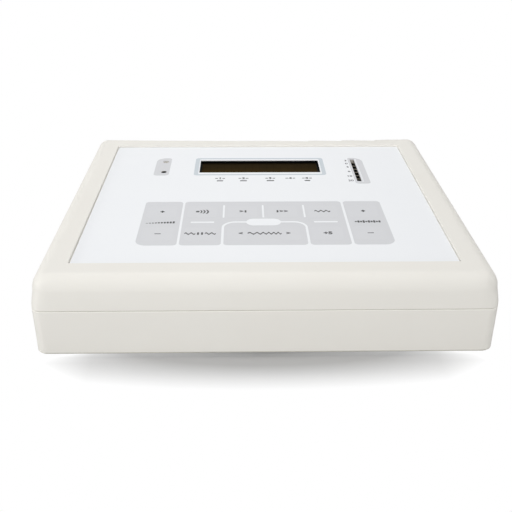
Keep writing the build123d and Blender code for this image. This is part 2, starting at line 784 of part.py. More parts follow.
with BuildPart() as inlet_nut:
    with BuildSketch(Plane.XZ.offset(-rear_face_y)):
        with Locations((inlet_x, jack_z)):
            RegularPolygon(inlet_nut_radius, 6)
            Circle(inlet_thread_radius + thread_play, mode=Mode.SUBTRACT)
    extrude(amount=-inlet_nut_thickness)
inlet_nut.part.label = "inlet_nut"
export_step(inlet_nut.part, "parts/inlet_nut.step")

# Power switch: the housing clamps the back panel, the rocker turns on two pins
rocker_y = rear_face_y + switch_flange_thickness / 2
rocker_pin_reach = rocker_width + 2 * rocker_pin_length
rocker_plane = Plane.YZ.offset(rocker_x)
with BuildPart() as switch_housing:
    with BuildSketch(Plane.XZ.offset(-rear_face_y - switch_flange_thickness)):
        with Locations((rocker_x, rear_middle_z)):
            RectangleRounded(
                switch_body_width + 2 * switch_flange,
                switch_body_height + 2 * switch_flange,
                switch_flange,
            )
    extrude(amount=switch_flange_thickness)
    with BuildSketch(Plane.XZ.offset(-rear_face_y)):
        with Locations((rocker_x, rear_middle_z)):
            Rectangle(switch_body_width, switch_body_height)
    extrude(amount=switch_body_length)
    with BuildSketch(Plane.XZ.offset(-rear_face_y - switch_flange_thickness)):
        with Locations((rocker_x, rear_middle_z)):
            Rectangle(rocker_width + 2 * rocker_play, 2 * (rocker_radius + rocker_play))
    extrude(amount=switch_flange_thickness / 2 + rocker_well, mode=Mode.SUBTRACT)
    with BuildSketch(rocker_plane):
        with Locations((rocker_y, rear_middle_z)):
            Circle(rocker_pin_radius + slide / 2)
    extrude(amount=rocker_pin_reach / 2 + slide, both=True, mode=Mode.SUBTRACT)
    # Solder lugs on the back of the body
    with BuildSketch(Plane.XZ.offset(-rear_face_y + switch_body_length)):
        with Locations((rocker_x, rear_middle_z)), GridLocations(0, terminal_pitch, 1, 2):
            Rectangle(terminal_width, terminal_thickness)
    extrude(amount=terminal_length)
switch_housing.part.label = "switch_housing"
export_step(switch_housing.part, "parts/switch_housing.step")

with BuildPart() as power_rocker:
    with BuildSketch(rocker_plane):
        with Locations((rocker_y, rear_middle_z)):
            Circle(rocker_radius)
            rise = rocker_radius * tan(radians(rocker_swing / 2))
            with BuildLine():
                Polyline(
                    (rocker_y + rocker_face, rear_middle_z),
                    (rocker_y + rocker_face + rise, rear_middle_z + rocker_radius),
                    (rocker_y - rocker_root, rear_middle_z + rocker_radius),
                    (rocker_y - rocker_root, rear_middle_z - rocker_radius),
                    (rocker_y + rocker_face + rise, rear_middle_z - rocker_radius),
                    close=True,
                )
            make_face(mode=Mode.INTERSECT)
    extrude(amount=rocker_width / 2, both=True)
    with BuildSketch(rocker_plane):
        with Locations((rocker_y, rear_middle_z)):
            Circle(rocker_pin_radius)
    extrude(amount=rocker_pin_reach / 2, both=True)
# The rocker rests tilted to its off stop
hinge = Axis((rocker_x, rocker_y, rear_middle_z), (1, 0, 0))
power_rocker_off = power_rocker.part.rotate(hinge, -rocker_swing / 2)
power_rocker_off.label = "power_rocker"
export_step(power_rocker_off, "parts/power_rocker.step")

# Two wires from the lugs down to the main board
lug_y = rear_face_y - switch_body_length - terminal_length + terminal_width / 2
with BuildPart() as switch_wires:
    for row in range(2):
        lug_z = rear_middle_z + (row - 1 / 2) * terminal_pitch - terminal_thickness / 2 - wire_radius
        drop_y = lug_y - (row + 1) * 2 * wire_bend
        with BuildLine() as route:
            FilletPolyline(
                (rocker_x, lug_y, lug_z),
                (rocker_x, drop_y, lug_z),
                (rocker_x, drop_y, main_board_top_z),
                radius=wire_bend,
            )
        with BuildSketch(Plane(route.line @ 0, z_dir=route.line % 0)):
            RegularPolygon(wire_radius, 6)
        sweep(path=route.line)
switch_wires.part.label = "switch_wires"
export_step(switch_wires.part, "parts/switch_wires.step")

# Screws with hexagon heads: four in the case and four in each board. The corners of a shaft cut its thread.
case_head_z = foot_height + case_screw_recess
case_screw_top_z = parting_z + case_screw_grip
with BuildPart() as case_screws:
    with BuildSketch(Plane.XY.offset(case_head_z)):
        with case_screw_places():
            RegularPolygon(screw_head_radius, 6)
    extrude(amount=-screw_head_height)
    with BuildSketch(Plane.XY.offset(case_head_z)):
        with case_screw_places():
            RegularPolygon(case_screw_radius, 6)
    extrude(amount=case_screw_top_z - case_head_z)
case_screws.part.label = "case_screws"
export_step(case_screws.part, "parts/case_screws.step")

with BuildPart() as panel_screws:
    with BuildSketch(Plane.XY.offset(panel_board_top_z - board_thickness)):
        with Locations((0, panel_y)), panel_post_places():
            RegularPolygon(screw_head_radius, 6)
    extrude(amount=-screw_head_height)
    with BuildSketch(Plane.XY.offset(panel_board_top_z - board_thickness)):
        with Locations((0, panel_y)), panel_post_places():
            RegularPolygon(screw_radius, 6)
    extrude(amount=board_thickness + screw_grip - slide)
panel_screws.part.label = "panel_screws"
export_step(panel_screws.part, "parts/panel_screws.step")

with BuildPart() as main_screws:
    with BuildSketch(Plane.XY.offset(main_board_top_z)):
        with Locations((0, main_board_y)), main_post_places():
            RegularPolygon(screw_head_radius, 6)
    extrude(amount=screw_head_height)
    with BuildSketch(Plane.XY.offset(main_board_top_z)):
        with Locations((0, main_board_y)), main_post_places():
            RegularPolygon(screw_radius, 6)
    extrude(amount=-(board_thickness + screw_grip - slide))
main_screws.part.label = "main_screws"
export_step(main_screws.part, "parts/main_screws.step")

# Main board parts
with BuildPart() as processor:
    with BuildSketch(Plane.XY.offset(main_board_top_z)):
        with Locations((0, main_board_y)):
            Rectangle(processor_size, processor_size)
    extrude(amount=processor_height)
    chamfer(processor.edges().filter_by(Axis.Z).sort_by(Axis.X)[0], processor_height)
processor.part.label = "processor"
export_step(processor.part, "parts/processor.step")

with BuildPart() as signal_converters:
    with BuildSketch(Plane.XY.offset(main_board_top_z)):
        with Locations((0, main_board_y)), GridLocations(2 * processor_size, 0, 2, 1):
            Rectangle(converter_width, converter_depth)
    extrude(amount=converter_height)
signal_converters.part.label = "signal_converters"
export_step(signal_converters.part, "parts/signal_converters.step")

with BuildPart() as output_amplifiers:
    with BuildSketch(Plane.XY.offset(main_board_top_z)):
        with Locations((2 * rear_pitch, main_board_y)), GridLocations(rear_pitch / 2, 0, 3, 1):
            Rectangle(amplifier_width, amplifier_depth)
    extrude(amount=amplifier_height)
output_amplifiers.part.label = "output_amplifiers"
export_step(output_amplifiers.part, "parts/output_amplifiers.step")

relay_y = main_board_y + relay_depth
with BuildPart() as output_relays:
    with BuildSketch(Plane.XY.offset(main_board_top_z)):
        with Locations((jack_first_x + 2 * rear_pitch, relay_y)), GridLocations(rear_pitch, 0, 4, 1):
            Rectangle(relay_width, relay_depth)
    extrude(amount=relay_height)
output_relays.part.label = "output_relays"
export_step(output_relays.part, "parts/output_relays.step")

capacitor_y = main_board_y + capacitor_pitch
with BuildPart() as capacitors:
    with BuildSketch(Plane.XY.offset(main_board_top_z)):
        with Locations((inlet_x, capacitor_y)), GridLocations(capacitor_pitch, 0, 3, 1):
            Circle(capacitor_radius)
    extrude(amount=capacitor_height)
capacitors.part.label = "capacitors"
export_step(capacitors.part, "parts/capacitors.step")

# Finned heat sink with the voltage regulator on its flat face
sink_y = main_board_y - sink_fin_length
with BuildPart() as heat_sink:
    with BuildSketch(Plane.XY.offset(main_board_top_z)):
        with Locations((rocker_x, sink_y)):
            Rectangle(sink_width, sink_base, align=(Align.CENTER, Align.MAX))
        fin_pitch = (sink_width - sink_fin_thickness) / (sink_fin_count - 1)
        with Locations((rocker_x, sink_y - sink_base)), GridLocations(fin_pitch, 0, sink_fin_count, 1):
            Rectangle(sink_fin_thickness, sink_fin_length, align=(Align.CENTER, Align.MAX))
    extrude(amount=sink_height)
heat_sink.part.label = "heat_sink"
export_step(heat_sink.part, "parts/heat_sink.step")

with BuildPart() as voltage_regulator:
    with BuildSketch(Plane.XY.offset(main_board_top_z)):
        with Locations((rocker_x, sink_y)):
            Rectangle(regulator_width, regulator_thickness, align=(Align.CENTER, Align.MIN))
    extrude(amount=regulator_height)
voltage_regulator.part.label = "voltage_regulator"
export_step(voltage_regulator.part, "parts/voltage_regulator.step")

# Ribbon cable between the two boards: box headers, plugs and the flat cable
panel_board_bottom_z = panel_board_top_z - board_thickness
with BuildPart() as cable_headers:
    for base_z, rise in ((main_board_top_z, header_height), (panel_board_bottom_z, -header_height)):
        with BuildSketch(Plane.XY.offset(base_z)):
            with Locations((0, cable_plug_y)):
                Rectangle(header_length, header_width)
        extrude(amount=rise)
        with BuildSketch(Plane.XY.offset(base_z + rise)):
            with Locations((0, cable_plug_y)):
                Rectangle(header_length - 2 * header_wall, header_width - 2 * header_wall)
        extrude(amount=-rise * (1 - header_wall / header_height), mode=Mode.SUBTRACT)
cable_headers.part.label = "cable_headers"
export_step(cable_headers.part, "parts/cable_headers.step")

lower_plug_z = main_board_top_z + header_wall
upper_plug_z = panel_board_bottom_z - header_wall
plug_height = header_height - header_wall + plug_rise
plug_depth = header_width - 2 * header_wall - 2 * plug_clearance
with BuildPart() as cable_plugs:
    for base_z, rise in ((lower_plug_z, plug_height), (upper_plug_z, -plug_height)):
        with BuildSketch(Plane.XY.offset(base_z)):
            with Locations((0, cable_plug_y)):
                Rectangle(plug_length, plug_depth)
        extrude(amount=rise)
cable_plugs.part.label = "cable_plugs"
export_step(cable_plugs.part, "parts/cable_plugs.step")

cable_low_z = lower_plug_z + plug_height + cable_thickness / 2
cable_high_z = upper_plug_z - plug_height - cable_thickness / 2
with BuildPart() as ribbon_cable:
    with BuildSketch(Plane.YZ):
        with BuildLine():
            low_run = Line(
                (cable_plug_y + plug_depth / 2, cable_low_z), (cable_plug_y - cable_reach, cable_low_z)
            )
            high_run = Line(
                (cable_plug_y - cable_reach, cable_high_z), (cable_plug_y + plug_depth / 2, cable_high_z)
            )
            TangentArc(low_run @ 1, high_run @ 0, tangent=low_run % 1)
        trace(line_width=cable_thickness)
    extrude(amount=cable_width / 2, both=True)
ribbon_cable.part.label = "ribbon_cable"
export_step(ribbon_cable.part, "parts/ribbon_cable.step")
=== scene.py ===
import json
from math import atan2, cos, pi, radians, sin, sqrt, tan

import bmesh
import bpy
from mathutils import Matrix, Vector


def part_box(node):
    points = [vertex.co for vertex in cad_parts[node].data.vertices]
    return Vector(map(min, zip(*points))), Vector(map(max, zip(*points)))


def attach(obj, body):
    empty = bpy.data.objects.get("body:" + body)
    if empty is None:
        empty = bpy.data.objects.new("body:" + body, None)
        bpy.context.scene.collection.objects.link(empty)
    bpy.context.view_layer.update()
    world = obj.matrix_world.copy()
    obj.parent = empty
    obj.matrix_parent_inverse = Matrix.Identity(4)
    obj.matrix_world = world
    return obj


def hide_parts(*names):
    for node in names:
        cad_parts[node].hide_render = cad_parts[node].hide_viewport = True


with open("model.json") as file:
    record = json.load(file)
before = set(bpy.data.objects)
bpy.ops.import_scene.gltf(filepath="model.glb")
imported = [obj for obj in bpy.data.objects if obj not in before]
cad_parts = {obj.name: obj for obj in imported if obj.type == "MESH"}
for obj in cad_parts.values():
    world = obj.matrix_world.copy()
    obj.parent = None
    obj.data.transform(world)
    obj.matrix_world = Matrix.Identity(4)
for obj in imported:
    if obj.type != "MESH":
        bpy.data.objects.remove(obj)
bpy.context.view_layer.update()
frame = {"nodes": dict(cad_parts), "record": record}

# Desk-top audiometer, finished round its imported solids. Blender's unit is the metre, so sizes
# that a maker would give in millimetres are written as millimetres times MM.
MM = 0.001

cover_low, cover_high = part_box("top_cover")
segment_low, segment_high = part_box("meter_segments")
tray_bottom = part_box("bottom_tray")[0].z
film_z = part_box("graphic_overlay")[1].z          # face of the printed film and of the key caps
record = frame["record"]["behaviour"]

# Colours of the case and of the film, in sRGB
IVORY, IVORY_SHADE = "E8E6E0", "E5E2DB"
# Painted light on the shells: the next colour is a painted highlight on the tray's lip; the three after it
# are painted shade inside the parting line, along the cover's lower edge and along the tray's lower edge
LIP_PAINTED_HIGHLIGHT = "F2F0EA"                           # lip of the tray
PARTING_PAINTED_SHADE = "A8A293"                            # inside the parting line
COVER_EDGE_PAINTED_SHADE = "D3D0C6"                            # edge of the cover over the parting line
LOWER_EDGE_PAINTED_SHADE = "BFBCB0"                            # lower edge of the tray
FILM_WHITE, FILM_CLOUD = "EDEFF1", "EBEDF0"
FILM_GREY, KEY_CLOUD = "CDCED1", "D0D1D4"
FILM_RIM = "C3CBD1"
# painted highlight: a pale line on the film beside the meter's slot
FILM_PAINTED_GLEAM = "DFE1E4"
WHITE = "FFFFFF"


def srgb(code):
    """A six-digit sRGB hex colour as linear red, green, blue, alpha."""
    parts = [int(code[i:i + 2], 16) / 255 for i in (0, 2, 4)]
    return [c / 12.92 if c <= 0.04045 else ((c + 0.055) / 1.055) ** 2.4 for c in parts] + [1.0]


# Nodes and materials

def add_node(material, kind, inputs=None, output=0, **settings):
    """Adds a shader node and gives one of its outputs.

    An input is a constant, a colour's sRGB code, or another node's output to link.
    """
    node = material.node_tree.nodes.new(kind)
    for name, value in settings.items():
        setattr(node, name, value)
    for name, value in (inputs or {}).items():
        if isinstance(value, bpy.types.NodeSocket):
            material.node_tree.links.new(value, node.inputs[name])
        else:
            node.inputs[name].default_value = srgb(value) if isinstance(value, str) else value
    return node.outputs[output] if node.outputs else None


def new_finish(name, **constants):
    """A material, its Principled shader with constants on its sockets, and the place on the object.

    The place is in metres, and the same as in the CAD frame.
    """
    material = bpy.data.materials.new(name)
    material.use_nodes = True
    shader = material.node_tree.nodes["Principled BSDF"]
    for socket, value in constants.items():
        shader.inputs[socket.replace("_", " ")].default_value = value
    return material, shader, add_node(material, "ShaderNodeTexCoord", output="Object")


def plug(material, shader, **sockets):
    """Links node outputs to the sockets of the shader."""
    for socket, value in sockets.items():
        material.node_tree.links.new(value, shader.inputs[socket.replace("_", " ")])


def clouds(material, place, size, low, high):
    """Two close tones in soft clouds of that size, as every moulded or printed face has."""
    noise = add_node(material, "ShaderNodeTexNoise", {"Vector": place, "Scale": 1 / size}, "Fac")
    return add_node(material, "ShaderNodeMix", {0: noise, 6: low, 7: high}, 2, data_type="RGBA")


def change_of_tone(material, value, starts, full, before, after):
    """One tone turns into another while a value goes from starts to full."""
    share = add_node(material, "ShaderNodeMapRange", {"Value": value, "From Min": starts, "From Max": full})
    return add_node(material, "ShaderNodeMix", {0: share, 6: before, 7: after}, 2, data_type="RGBA")


def texture(material, shader, place, grit, height, rough_low, rough_high):
    """Surface texture: a grit of that size and height, and the shine that goes with it."""
    noise = add_node(material, "ShaderNodeTexNoise", {"Vector": place, "Scale": 1 / grit}, "Fac")
    bump = add_node(material, "ShaderNodeBump", {"Height": noise, "Distance": height})
    shine = {"Value": noise, "To Min": rough_low, "To Max": rough_high}
    plug(material, shader, Normal=bump, Roughness=add_node(material, "ShaderNodeMapRange", shine))


# The real grits and turning marks are mostly finer than those below. They wouldn't show in a render
# of the whole object, so each is drawn as coarse as it needs to show.

def moulded(name, low, high, mottle, grit, height, rough_low, rough_high, **constants):
    """A moulded plastic or rubber, a paint or an ink: clouds of size mottle over a grit."""
    material, shader, place = new_finish(name, **{"IOR": 1.53, **constants})
    plug(material, shader, Base_Color=clouds(material, place, mottle, low, high))
    texture(material, shader, place, grit, height, rough_low, rough_high)
    return material


def metal(name, low, high, brush, rough_low, rough_high):
    """A bare or plated metal with fine marks of turning, which break up its highlights."""
    material, shader, place = new_finish(name, Metallic=1.0)
    turning = {"Vector": place, "Scale": 1 / brush, "Detail": 4.0}
    marks = add_node(material, "ShaderNodeTexNoise", turning, "Fac")
    tone = add_node(material, "ShaderNodeMix", {0: marks, 6: low, 7: high}, 2, data_type="RGBA")
    bump = add_node(material, "ShaderNodeBump", {"Height": marks, "Strength": 0.4, "Distance": 0.02 * MM})
    shine = {"Value": marks, "To Min": rough_low, "To Max": rough_high}
    rough = add_node(material, "ShaderNodeMapRange", shine)
    plug(material, shader, Base_Color=tone, Roughness=rough, Normal=bump)
    return material


PARTING_GAP, LIP_RISE = 0.6 * MM, 0.12 * MM      # gap in the solids; how far the tray's lip fills it
lip_z = cover_low.z - PARTING_GAP + LIP_RISE
# Heights of the painted bands: the painted highlight below the tray's lip, and the painted shade along the
# cover's lower edge and the tray's lower edge
LIP_GLEAM, COVER_EDGE, LOWER_EDGE = 0.45 * MM, 0.2 * MM, 1.0 * MM
SOFT, LOWER_SOFT, CRISP = 0.1 * MM, 0.5 * MM, 0.02 * MM


def ivory_shell(name, *bands):
    """Moulded ABS, ivory: a fine spark-eroded grain gives it an even, soft sheen.

    A band of another tone starts at one height and is full at the next.
    """
    material, shader, place = new_finish(name, IOR=1.53)
    colour = clouds(material, place, size=60 * MM, low=IVORY, high=IVORY_SHADE)
    height = add_node(material, "ShaderNodeSeparateXYZ", {"Vector": place}, "Z")
    for starts, full, tone in bands:
        colour = change_of_tone(material, height, starts, full, colour, tone)
    plug(material, shader, Base_Color=colour)
    texture(material, shader, place, grit=0.9 * MM, height=0.012 * MM, rough_low=0.52, rough_high=0.62)
    return material


# Print of the front film, in millimetres from the middle of the case: left, front, right, back, corner
FIELD_FRONT, FIELD_BACK, FIELD_CORNER = -85.3, -12.7, 3.0
MIDDLE_LEFT, MIDDLE_RIGHT = -57.7, 59.4
ARCH_LEFT, ARCH_RIGHT = -27.7, 29.8
LEVEL_FIELD = (-87.4, FIELD_FRONT, -59.3, FIELD_BACK, FIELD_CORNER)
LEVEL_ROUND = (-87.4, FIELD_FRONT, -39.5, 10.0, 7.4)
MASKING_FIELD = (61.2, FIELD_FRONT, 89.2, FIELD_BACK, FIELD_CORNER)
MASKING_ROUND = (40.5, FIELD_FRONT, 89.2, 10.0, 7.5)
BACK_ROW = (MIDDLE_LEFT, -60.0, MIDDLE_RIGHT, FIELD_BACK, FIELD_CORNER)
LEFT_PAIR = (MIDDLE_LEFT, FIELD_FRONT, -29.4, FIELD_BACK, FIELD_CORNER)
RIGHT_PAIR = (31.4, FIELD_FRONT, MIDDLE_RIGHT, FIELD_BACK, FIELD_CORNER)
WHITE_ARCH = (-29.4, -140.0, 31.4, -47.8, 9.8)
GREY_ARCH = (ARCH_LEFT, FIELD_FRONT, ARCH_RIGHT, -49.9, 8.0)
ARCH_FEET = (ARCH_LEFT, FIELD_FRONT, ARCH_RIGHT, -68.0, FIELD_CORNER)
WHITE_OVAL = (-12.0, -54.6, 12.8, -43.4, 5.5)
WHITE_LINES = (
    (-29.1, -41.3, -27.8, -19.3, 0.5),
    (-0.2, -41.3, 1.1, -19.3, 0.5),
    (30.0, -41.3, 31.3, -19.3, 0.5),
    (-51.7, -50.1, -35.0, -47.9, 0.5),
    (36.6, -50.1, 53.6, -47.9, 0.5),
)
DISPLAY_RIM = (-54.8, 41.2, 54.8, 81.4, 3.0)
DISPLAY_RIM_INSIDE = (-51.2, 43.9, 51.4, 78.6, 1.0)
HOLE_PATCH = (-88.0, 41.2, -75.4, 81.5, 3.3)
HOLE_PATCH_ROUND = (-88.0, 20.0, -55.0, 81.5, 8.0)
METER_PATCH = (76.5, 22.3, 88.7, 81.2, 3.0)
METER_PATCH_ROUND = (55.0, 5.0, 88.7, 81.2, 9.0)
# Place of the painted highlight beside the meter's slot
METER_PAINTED_GLEAM = (82.2, 26.0, 83.8, 78.5, 0.8)
PRINT_EDGE = 0.15 * MM
ANY_HEIGHT = 1                                   # in metres, so the print reaches through the whole film


def printed_box(material, place, field):
    """1 inside a rounded rectangle of the print and 0 outside, with a crisp edge."""
    left, front, right, back, corner = (value * MM for value in field)
    middle = ((left + right) / 2, (front + back) / 2, 0)
    reach = ((right - left) / 2 - corner, (back - front) / 2 - corner, ANY_HEIGHT)
    offset = add_node(material, "ShaderNodeVectorMath", {0: place, 1: middle}, operation="SUBTRACT")
    away = add_node(material, "ShaderNodeVectorMath", {0: offset}, operation="ABSOLUTE")
    past = add_node(material, "ShaderNodeVectorMath", {0: away, 1: reach}, operation="SUBTRACT")
    outside = add_node(material, "ShaderNodeVectorMath", {0: past, 1: (0, 0, 0)}, operation="MAXIMUM")
    far = add_node(material, "ShaderNodeVectorMath", {0: outside}, "Value", operation="LENGTH")
    edge = {"Value": far, "From Min": corner + PRINT_EDGE / 2, "From Max": corner - PRINT_EDGE / 2}
    return add_node(material, "ShaderNodeMapRange", edge)


def film_texture(material, shader, place):
    """Polyester film printed from behind: an even satin face with a very fine matt texture."""
    texture(material, shader, place, grit=0.7 * MM, height=0.004 * MM, rough_low=0.46, rough_high=0.56)


def printed_film():
    """Screen-printed polyester film: cool white, with grey key fields, rims and patches, and a painted
    highlight beside the meter's slot.

    The tones are laid over each other in the printer's order. A tone covers what lies inside all of
    its fields, so two fields with different corners give a patch whose corners differ.
    """
    material, shader, place = new_finish("printed_polyester_film", IOR=1.57)
    white = clouds(material, place, size=30 * MM, low=FILM_WHITE, high=FILM_CLOUD)
    colour = white
    for tone, *fields in (
        (FILM_GREY, LEVEL_FIELD, LEVEL_ROUND), (FILM_GREY, MASKING_FIELD, MASKING_ROUND),
        (FILM_GREY, BACK_ROW), (FILM_GREY, LEFT_PAIR), (FILM_GREY, RIGHT_PAIR),
        (white, WHITE_ARCH), (FILM_GREY, GREY_ARCH), (FILM_GREY, ARCH_FEET),
        (white, WHITE_OVAL), *((white, line) for line in WHITE_LINES),
        (FILM_GREY, HOLE_PATCH, HOLE_PATCH_ROUND), (FILM_GREY, METER_PATCH, METER_PATCH_ROUND),
        (FILM_RIM, DISPLAY_RIM), (white, DISPLAY_RIM_INSIDE),
        (FILM_PAINTED_GLEAM, METER_PATCH, METER_PATCH_ROUND, METER_PAINTED_GLEAM),
    ):
        inside = 1.0
        for field in fields:
            mask = printed_box(material, place, field)
            inside = add_node(material, "ShaderNodeMath", {0: inside, 1: mask}, operation="MINIMUM")
        colour = add_node(material, "ShaderNodeMix", {0: inside, 6: colour, 7: tone}, 2, data_type="RGBA")
    plug(material, shader, Base_Color=colour)
    film_texture(material, shader, place)
    return material


def key_film():
    """The same printed film over the keys, in its grey, a touch paler where fingers press."""
    material, shader, place = new_finish("printed_key_film", IOR=1.57)
    plug(material, shader, Base_Color=clouds(material, place, size=12 * MM, low=FILM_GREY, high=KEY_CLOUD))
    film_texture(material, shader, place)
    return material


CELL_WIDTH, CELL_DEPTH, CELL_GAP, CELL_HAZE = 6.0 * MM, 10.4 * MM, 0.25 * MM, 9 * MM
# The painted golden reflection is full this far from the front edge of the glass, and gone this far from its
# back edge
PAINTED_REFLECTION_FRONT, PAINTED_REFLECTION_BACK = 5 * MM, 12 * MM          # from the front and the back edge of the glass


def liquid_crystal():
    """Liquid-crystal glass, unlit: brown-black, a trace of its cells, and a painted golden reflection
    towards the front.
    """
    material, shader, place = new_finish("liquid_crystal_glass", Roughness=0.4, Specular_IOR_Level=0.0)
    low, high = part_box("display_glass")
    along = add_node(material, "ShaderNodeSeparateXYZ", {"Vector": place}, "Y")
    reflection_fade = {"Value": along, "From Min": low.y + PAINTED_REFLECTION_FRONT, "From Max": high.y - PAINTED_REFLECTION_BACK,
              "To Min": 0.8, "To Max": 0.0}
    cells = {"Vector": place, "Scale": 1.0, "Mortar Size": CELL_GAP, "Brick Width": CELL_WIDTH,
             "Row Height": CELL_DEPTH, "Mortar Smooth": 0.3}
    gaps = add_node(material, "ShaderNodeTexBrick", cells, "Fac", offset=0.0)
    haze = add_node(material, "ShaderNodeTexNoise", {"Vector": place, "Scale": 1 / CELL_HAZE}, "Fac")
    reflection_share = add_node(material, "ShaderNodeMapRange", reflection_fade)
    gap_share = add_node(material, "ShaderNodeMapRange", {"Value": gaps, "To Max": 0.2})
    haze_share = add_node(material, "ShaderNodeMapRange", {"Value": haze, "To Max": 0.3})
    colour = "3A2F1F"
    # Over the brown-black: the painted golden reflection, then the dark cell gaps, then the haze
    for share, tone in ((reflection_share, "5A4622"), (gap_share, "19130D"), (haze_share, "16110B")):
        colour = add_node(material, "ShaderNodeMix", {0: share, 6: colour, 7: tone}, 2, data_type="RGBA")
    plug(material, shader, Base_Color=colour)
    return material


def clear_window():
    """Thin anti-glare acrylic: clear, with a faint grey tint in clouds."""
    material = bpy.data.materials.new("clear_acrylic")
    material.use_nodes = True
    material.node_tree.nodes.clear()
    place = add_node(material, "ShaderNodeTexCoord", output="Object")
    tint = clouds(material, place, size=12 * MM, low="F4F5F5", high="F8F8F7")
    clear = add_node(material, "ShaderNodeBsdfTransparent", {"Color": tint})
    add_node(material, "ShaderNodeOutputMaterial", {"Surface": clear})
    return material


TRACK_PITCH, TRACK_GAP, TRACK_LENGTH = 2.54 * MM, 0.25 * MM, 17.8 * MM


def circuit_board():
    """Glass-fibre board under green solder mask, with copper tracks showing as paler lines."""
    material, shader, place = new_finish("green_solder_mask", IOR=1.5)
    pattern = {"Vector": place, "Scale": 1.0, "Mortar Size": TRACK_GAP, "Brick Width": TRACK_LENGTH,
               "Row Height": TRACK_PITCH}
    tracks = add_node(material, "ShaderNodeTexBrick", pattern, "Fac", offset=0.37)
    colour = add_node(material, "ShaderNodeMix", {0: tracks, 6: "0F4A2A", 7: "1C6B3F"}, 2, data_type="RGBA")
    plug(material, shader, Base_Color=colour)
    texture(material, shader, place, grit=1.2 * MM, height=0.02 * MM, rough_low=0.25, rough_high=0.4)
    return material


WIRE_PITCH, WIRE_HEIGHT = 1.27 * MM, 0.15 * MM


def flat_cable():
    """Grey vinyl ribbon of parallel wires: bumped ridges, with a painted highlight on each crest and painted
    shade in the grooves; one edge wire is red.
    """
    material, shader, place = new_finish("vinyl_ribbon_cable", IOR=1.53, Roughness=0.5)
    low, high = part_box("ribbon_cable")
    across = add_node(material, "ShaderNodeSeparateXYZ", {"Vector": place}, "X")
    turns = add_node(material, "ShaderNodeMath", {0: across, 1: 2 * pi / WIRE_PITCH}, operation="MULTIPLY")
    ridge = add_node(material, "ShaderNodeMath", {0: turns}, operation="COSINE")
    first = add_node(material, "ShaderNodeMath", {0: across, 1: low.x + WIRE_PITCH}, operation="LESS_THAN")
    # Painted highlight and shade: the grey is paler on each ridge's crest and darker in the grooves
    grey = change_of_tone(material, ridge, 0.0, 1.0, "7E8083", "9C9EA1")
    colour = add_node(material, "ShaderNodeMix", {0: first, 6: grey, 7: "B02A24"}, 2, data_type="RGBA")
    bump = add_node(material, "ShaderNodeBump", {"Height": ridge, "Distance": WIRE_HEIGHT})
    plug(material, shader, Base_Color=colour, Normal=bump)
    return material


SEGMENT_COUNT, SEGMENT_LENGTH, SEGMENT_JOINT = 7, 5.3 * MM, 1.2 * MM
BACK_SEGMENT, SEGMENT_EDGE, SEGMENT_HAZE = 5.6 * MM, 0.05 * MM, 2 * MM


def unlit_segments():
    """Tinted resin bars of the meter, unlit: near black and without gloss, the one at the back pale."""
    material, shader, place = new_finish("unlit_meter_segments", Specular_IOR_Level=0.0)
    edge = segment_high.y - BACK_SEGMENT
    along = add_node(material, "ShaderNodeSeparateXYZ", {"Vector": place}, "Y")
    tone = change_of_tone(material, along, edge - SEGMENT_EDGE, edge + SEGMENT_EDGE, "050505", "8E8A84")
    haze = add_node(material, "ShaderNodeTexNoise", {"Vector": place, "Scale": 1 / SEGMENT_HAZE}, "Fac")
    share = add_node(material, "ShaderNodeMapRange", {"Value": haze, "To Max": 0.015})
    colour = add_node(material, "ShaderNodeMix", {0: share, 6: tone, 7: "6A6A6A"}, 2, data_type="RGBA")
    plug(material, shader, Base_Color=colour)
    texture(material, shader, place, grit=0.5 * MM, height=0.01 * MM, rough_low=0.4, rough_high=0.5)
    return material


def meter_casing():
    """Black meter casing whose bars between the segments show as narrow brown joints."""
    material, shader, place = new_finish("moulded_meter_casing", Specular_IOR_Level=0.0)
    pitch = (segment_high.y - segment_low.y - SEGMENT_LENGTH) / (SEGMENT_COUNT - 1)
    first = segment_low.y + SEGMENT_LENGTH / 2
    edge = pitch / 2 - SEGMENT_JOINT / 2
    along = add_node(material, "ShaderNodeSeparateXYZ", {"Vector": place}, "Y")
    from_first = add_node(material, "ShaderNodeMath", {0: along, 1: first}, operation="SUBTRACT")
    fold = add_node(material, "ShaderNodeMath", {0: from_first, 1: pitch / 2}, operation="PINGPONG")
    black = clouds(material, place, size=4 * MM, low="070707", high="0C0C0B")
    colour = change_of_tone(material, fold, edge - SOFT, edge + SOFT, black, "8A8478")
    plug(material, shader, Base_Color=colour)
    texture(material, shader, place, grit=0.5 * MM, height=0.01 * MM, rough_low=0.45, rough_high=0.55)
    return material


# ABS of the case. Plain for the ring in the microphone's hole; on the shells, a painted highlight lies
# along the tray's lip, and painted shade along the parting line and the tray's lower edge.
ivory_abs = ivory_shell("moulded_ivory_abs")
ivory_cover = ivory_shell(
    "moulded_ivory_cover",
    (cover_low.z + COVER_EDGE + SOFT, cover_low.z + COVER_EDGE, COVER_EDGE_PAINTED_SHADE),
)
ivory_tray = ivory_shell(
    "moulded_ivory_tray",
    (lip_z - LIP_GLEAM - SOFT, lip_z - LIP_GLEAM, LIP_PAINTED_HIGHLIGHT),
    (lip_z - CRISP - CRISP / 2, lip_z - CRISP / 2, PARTING_PAINTED_SHADE),
    (tray_bottom + LOWER_EDGE + LOWER_SOFT, tray_bottom + LOWER_EDGE, LOWER_EDGE_PAINTED_SHADE),
)
white_film = printed_film()
grey_film = key_film()
acrylic = clear_window()
crystal = liquid_crystal()
board = circuit_board()

# In each line: name, two tones, size of the clouds, size and height of the grit, lowest and
# highest roughness. The comment says what the finish gives the eye.

# Matt paint on sheet steel: a soft black that swallows light round the display
black_steel = moulded("black_painted_steel", "08080A", "0F0F10", 5 * MM, 0.4 * MM, 0.01 * MM, 0.5, 0.6,
                      IOR=1.1)
